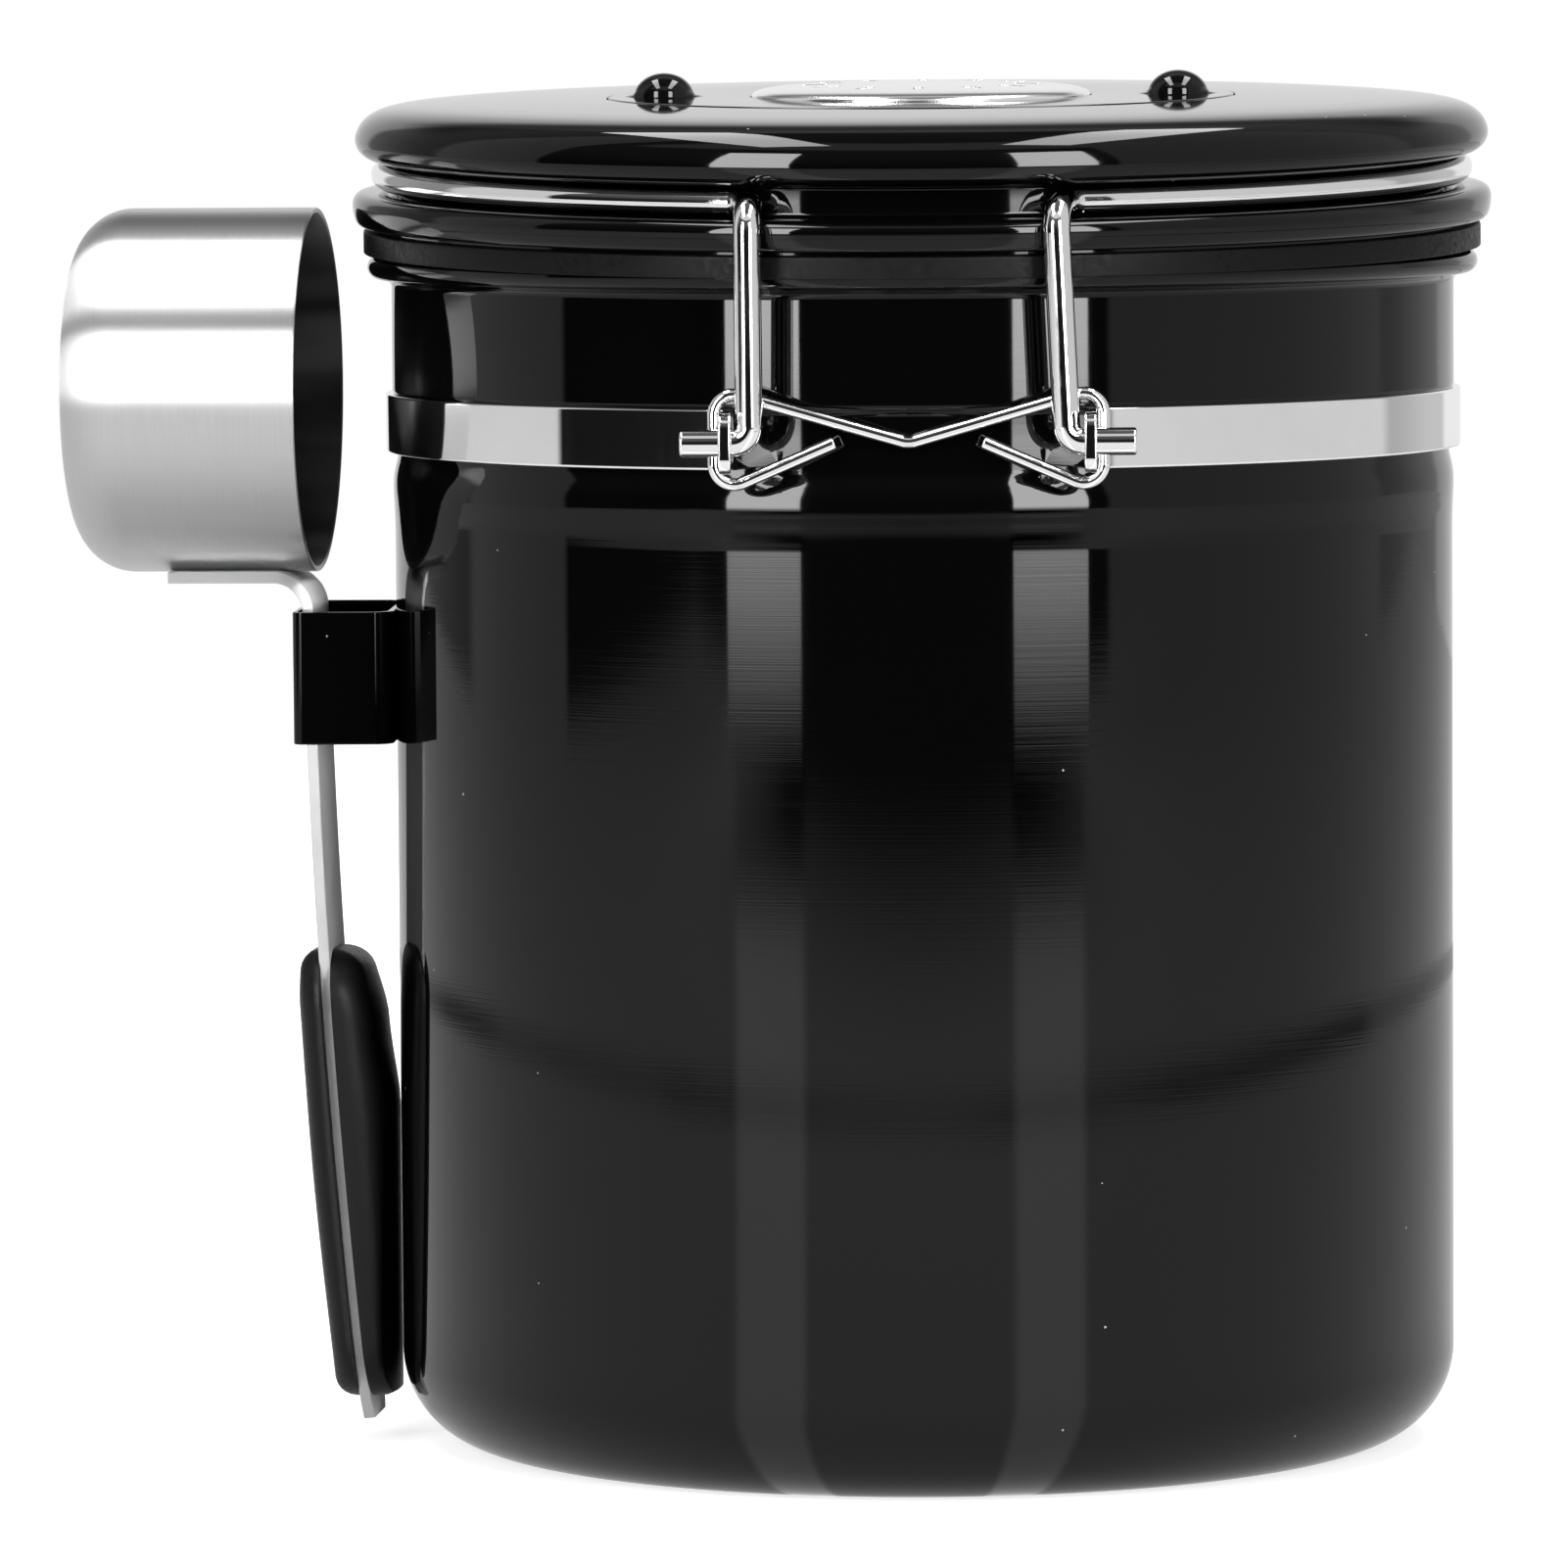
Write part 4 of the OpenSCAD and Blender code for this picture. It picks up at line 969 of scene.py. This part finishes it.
def grip(name, solid, side, thickness):
    """One scale: a crowned pad on the strip, with round ends."""
    top, low, half_w, corner, edge_r, crown_r = 56.4, 5.1, 8.5, 6, 2.4, 26.0
    rows, cols = 44, 28
    face = STRIP_T / 2 + 0.01
    mid, half_l = (top + low) / 2, (top - low) / 2
    crowned, base, faces = [], [], []
    for i in range(rows + 1):
        z = mid + half_l * math.sin(math.pi / 2 * (2 * i / rows - 1)) * 0.9999
        to_end = half_l - abs(z - mid)
        past = max(0, corner - to_end)
        hw = half_w - corner + math.sqrt(max(0, corner ** 2 - past ** 2))
        for j in range(cols + 1):
            y = hw * math.sin(math.pi / 2 * (2 * j / cols - 1))
            near = min(1.0, to_end / edge_r, (hw - abs(y)) / edge_r)
            roll = math.sqrt(max(0.0, 1 - (1 - near) ** 2))
            thick = max(0.0, eased(z, thickness) - y * y / (2 * crown_r))
            x = strip_x(z) + side * (face + thick * roll)
            if side > 0:
                # the inner scale keeps clear of the can
                x = min(x, -(60.35 + crown_r - math.sqrt(crown_r ** 2 - y * y)))
            crowned.append((x, y, z))
            base.append((strip_x(z) + side * face, y, z))
    n, off = cols + 1, len(crowned)
    for i in range(rows):
        for j in range(cols):
            a, b, c, d = i * n + j, i * n + j + 1, (i + 1) * n + j + 1, (i + 1) * n + j
            faces += [[a, b, c, d], [off + d, off + c, off + b, off + a]]
    rim = [i * n for i in range(rows)] + [rows * n + j for j in range(cols)]
    rim += [i * n + cols for i in range(rows, 0, -1)] + list(range(cols, 0, -1))
    faces += [[a, b, off + b, off + a] for a, b in zip(rim, rim[1:] + rim[:1])]
    make(name, (crowned + base, faces, None), SATIN, "scoop", solid,
         on_scoop, sharp=50)


can()
band()
latch_plate()
clip()
sleeve()
lid()
hinge_wire()
dial()
latch()
bowl()
strip()
grip("scale_outer", "grip_outer", -1, [(56.4, 2.7), (50, 3.2), (30, 3.3), (5, 3.1)])
grip("scale_inner", "grip_inner", 1,
     [(57.3, 3.6), (48, 5.2), (38, 5.8), (26, 5.6), (11, 4.9), (6, 4.2)])

# the valve's solids are hidden and stay as they come, with a finish each
for name, mat in (("valve_body", GLOSS), ("valve_nut", GLOSS), ("valve_flap", PALE),
                  ("valve_filter", MESH)):
    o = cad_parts[name]
    o.data.materials.clear()
    o.data.materials.append(mat)


# ---------------------------------------------------------------- the studio
LAMP_AZIMUTHS = (-32.2, 28.0)


def at_azimuth(deg, dist, z):
    """A place at an angle to the right of the camera's side."""
    a = math.radians(deg)
    return Vector((dist * math.sin(a), -dist * math.cos(a), z))


def stage_material(name):
    """An empty material, its tree and its surface socket."""
    m = bpy.data.materials.new(name)
    m.use_nodes = True
    m.node_tree.nodes.clear()
    return m, m.node_tree, node(m.node_tree, "ShaderNodeOutputMaterial").inputs["Surface"]


def white_glow(t, strength):
    """A white emission whose strength comes from a socket."""
    n = node(t, "ShaderNodeEmission", inputs={"Color": (1, 1, 1, 1)})
    t.links.new(strength, n.inputs["Strength"])
    return n.outputs[0]


def both(t, a, b):
    """Two shaders added."""
    n = node(t, "ShaderNodeAddShader")
    t.links.new(a, n.inputs[0])
    t.links.new(b, n.inputs[1])
    return n.outputs[0]


def floor():
    """A white table. Mirrors see it with painted light: painted shadow fading it in front, a faint
    ring of painted shadow, and streaks of painted lamp reflection. For the camera it glows white,
    weaker near the can as painted shade.
    """
    x0, x1, y0, y1 = -1.24, 1.4, -1.12, 1.35
    mesh = bpy.data.meshes.new("floor")
    mesh.from_pydata([(x0, y0, 0), (x1, y0, 0), (x1, y1, 0), (x0, y1, 0)], [], [(0, 1, 2, 3)])
    o = bpy.data.objects.new("floor", mesh)
    bpy.context.scene.collection.objects.link(o)
    m, t, surface = stage_material("floor_white")
    k = Maths(t)
    x, y, _ = k.coordinates("Object")
    far = k.distance(x, y)
    # what mirrors see: the fade in front, a painted shadow
    middle = k.bump_between(x, -0.62, 0.62, 0.2)
    shape = k.do("ADD", k.times(k.step(y, -1.1, -0.45), middle), k.less(middle))
    # the ring, a painted shadow, deeper in some places than in others
    patchy = node(t, "ShaderNodeTexNoise", inputs={"Scale": 3.0, "Detail": 1.0})
    t.links.new(node(t, "ShaderNodeTexCoord").outputs["Object"], patchy.inputs["Vector"])
    shadow_depth = k.step(patchy.outputs["Fac"], 0.4, 0.6, 0.35, 0.75)
    ring = k.bump_between(k.distance(x, k.do("SUBTRACT", y, 0.07)), 0.505, 0.555, 0.008)
    shape = k.times(shape, k.less(ring, shadow_depth))
    # a streak towards each strip lamp, a painted reflection of it, dimmer than the table where it
    # ends
    lamp_reflection_streak = 0.0
    for deg in LAMP_AZIMUTHS:
        start = at_azimuth(deg / 2, 0.06, 0) - at_azimuth(deg, 0.0288, 0)
        turn = k.azimuth(k.do("SUBTRACT", x, start.x), k.do("SUBTRACT", y, start.y))
        lamp_reflection_streak = k.do("ADD", k.bump_between(turn, deg - 7.6, deg + 7.6, 1.5), lamp_reflection_streak)
    shape = k.do("ADD", shape, k.times(lamp_reflection_streak, k.step(far, 0.68, 0.92, 0.85, -0.25)))
    cloth = node(t, "ShaderNodeBsdfDiffuse")
    t.links.new(k.times(shape, 0.16), cloth.inputs["Color"])
    table = both(t, cloth.outputs[0], white_glow(t, k.times(shape, 0.52)))
    # for the camera: paper and a white glow that is weaker near the can, a painted shade round its
    # base
    paper = node(t, "ShaderNodeBsdfDiffuse", inputs={"Color": (0.4, 0.4, 0.4, 1)})
    seen = both(t, paper.outputs[0], white_glow(t, k.step(far, 0.05, 0.5, 0.76, 1.0)))
    choice = node(t, "ShaderNodeMixShader")
    t.links.new(node(t, "ShaderNodeLightPath").outputs["Is Camera Ray"], choice.inputs[0])
    t.links.new(table, choice.inputs[1])
    t.links.new(seen, choice.inputs[2])
    t.links.new(choice.outputs[0], surface)
    mesh.materials.append(m)


def strip_lamps():
    """Two upright strip lamps whose lower ends fade out."""
    away, half_wide, high = 1.2, 0.168, Vector((0, 0, 0.97))
    m, t, surface = stage_material("strip_lamp")
    k = Maths(t)
    fade = ramp(t, [(0.0, 0.0), (0.03, 0.3), (0.085, 1.0)])
    t.links.new(k.coordinates("Object")["Z"], fade.inputs["Fac"])
    t.links.new(white_glow(t, k.times(fade.outputs["Color"], 19.0)), surface)
    for i, deg in enumerate(LAMP_AZIMUTHS):
        mid, a = at_azimuth(deg, away, 0), math.radians(deg)
        side = Vector((math.cos(a), math.sin(a), 0)) * half_wide
        mesh = bpy.data.meshes.new("strip_lamp")
        mesh.from_pydata([mid - side, mid + side, mid + side + high, mid - side + high], [],
                         [(0, 1, 2, 3)])
        mesh.materials.append(m)
        o = bpy.data.objects.new("strip_lamp_%d" % i, mesh)
        o.visible_camera = False
        bpy.context.scene.collection.objects.link(o)


def over_lamp(name, at, to, w, h, radiance):
    """A strip lamp overhead that runs to and fro, along Y."""
    lamp = bpy.data.lights.new(name, "AREA")
    lamp.shape = "RECTANGLE"
    lamp.size, lamp.size_y = w, h
    lamp.energy = radiance * math.pi * w * h
    o = bpy.data.objects.new(name, lamp)
    back = (Vector(at) - Vector(to)).normalized()
    along = Vector((0, 1, 0))
    across = along.cross(back)
    m = Matrix((across, along, back)).transposed().to_4x4()
    m.translation = at
    o.matrix_world = m
    o.visible_camera = False
    bpy.context.scene.collection.objects.link(o)


def room():
    """White for the camera; mirrors see a dark room with white card at the sides and behind."""
    world = bpy.data.worlds.new("studio")
    world.use_nodes = True
    bpy.context.scene.world = world
    t = world.node_tree
    t.nodes.clear()
    k = Maths(t)
    x, y, z = k.coordinates("Generated")
    turn = k.azimuth(x, y)
    card = k.most(k.step(turn, -83, -81, 1.0, 0.0), k.step(turn, 40.5, 42.5))
    # behind, the card ends above, and overhead is dim
    back = k.times(k.step(z, 0.36, 0.56), k.step(y, 0.45, 0.75))
    dim = k.most(back, k.step(z, 0.88, 0.94))
    # the card is brightest straight behind, and dimmer on both sides of that
    level = k.times(k.step(y, 0.5, 0.8, 0.64, 0.85),
                    k.less(k.bump_between(turn, -150, -114, 2.5), 0.6),
                    k.less(k.bump_between(turn, 118, 150, 2.5), 0.35))
    card = k.times(card, level, k.less(dim, 0.8))
    # in front, the ceiling is lit a little
    front = k.times(k.step(y, -0.3, -0.15, 1.0, 0.0), k.bump_between(z, 0.69, 0.92, 0.03), 0.7)
    value = k.most(card, front, k.step(z, 0.05, 0.6, 0.008, 0.1))
    path = node(t, "ShaderNodeLightPath")
    sharp = k.most(path.outputs["Is Glossy Ray"], path.outputs["Is Transmission Ray"])
    soft = node(t, "ShaderNodeMix", data_type="FLOAT", inputs={2: 0.3})
    t.links.new(sharp, soft.inputs[0])
    t.links.new(value, soft.inputs[3])
    final = node(t, "ShaderNodeMix", data_type="FLOAT", inputs={3: 1.0})
    t.links.new(path.outputs["Is Camera Ray"], final.inputs[0])
    t.links.new(soft.outputs[0], final.inputs[2])
    bg = node(t, "ShaderNodeBackground", inputs={"Color": (1, 1, 1, 1)})
    t.links.new(final.outputs[0], bg.inputs["Strength"])
    t.links.new(bg.outputs[0], node(t, "ShaderNodeOutputWorld").inputs["Surface"])


def studio():
    """The table, the lamps and the room that the photograph's reflections show."""
    floor()
    strip_lamps()
    for name, side in (("lamp_over_left", -1), ("lamp_over_right", 1)):
        over_lamp(name, (side * 0.4, -0.11, 1.15), (side * 0.1, -0.11, 0.15), 0.25, 1.1, 14.0)
    room()


def camera():
    """The camera that was fitted to the photograph."""
    cam = bpy.data.cameras.new("camera")
    cam.sensor_width = 36.0
    cam.sensor_fit = "HORIZONTAL"
    cam.lens = 242.668
    cam.clip_start, cam.clip_end = 0.05, 50
    o = bpy.data.objects.new("camera", cam)
    o.location = (0.0299581, -1.2000826, 0.1669476)
    o.rotation_euler = [math.radians(a) for a in (85.60962, 0.3968246, 2.1665097)]
    bpy.context.scene.collection.objects.link(o)
    bpy.context.scene.camera = o


studio()
camera()
bpy.context.scene.view_settings.view_transform = "Standard"
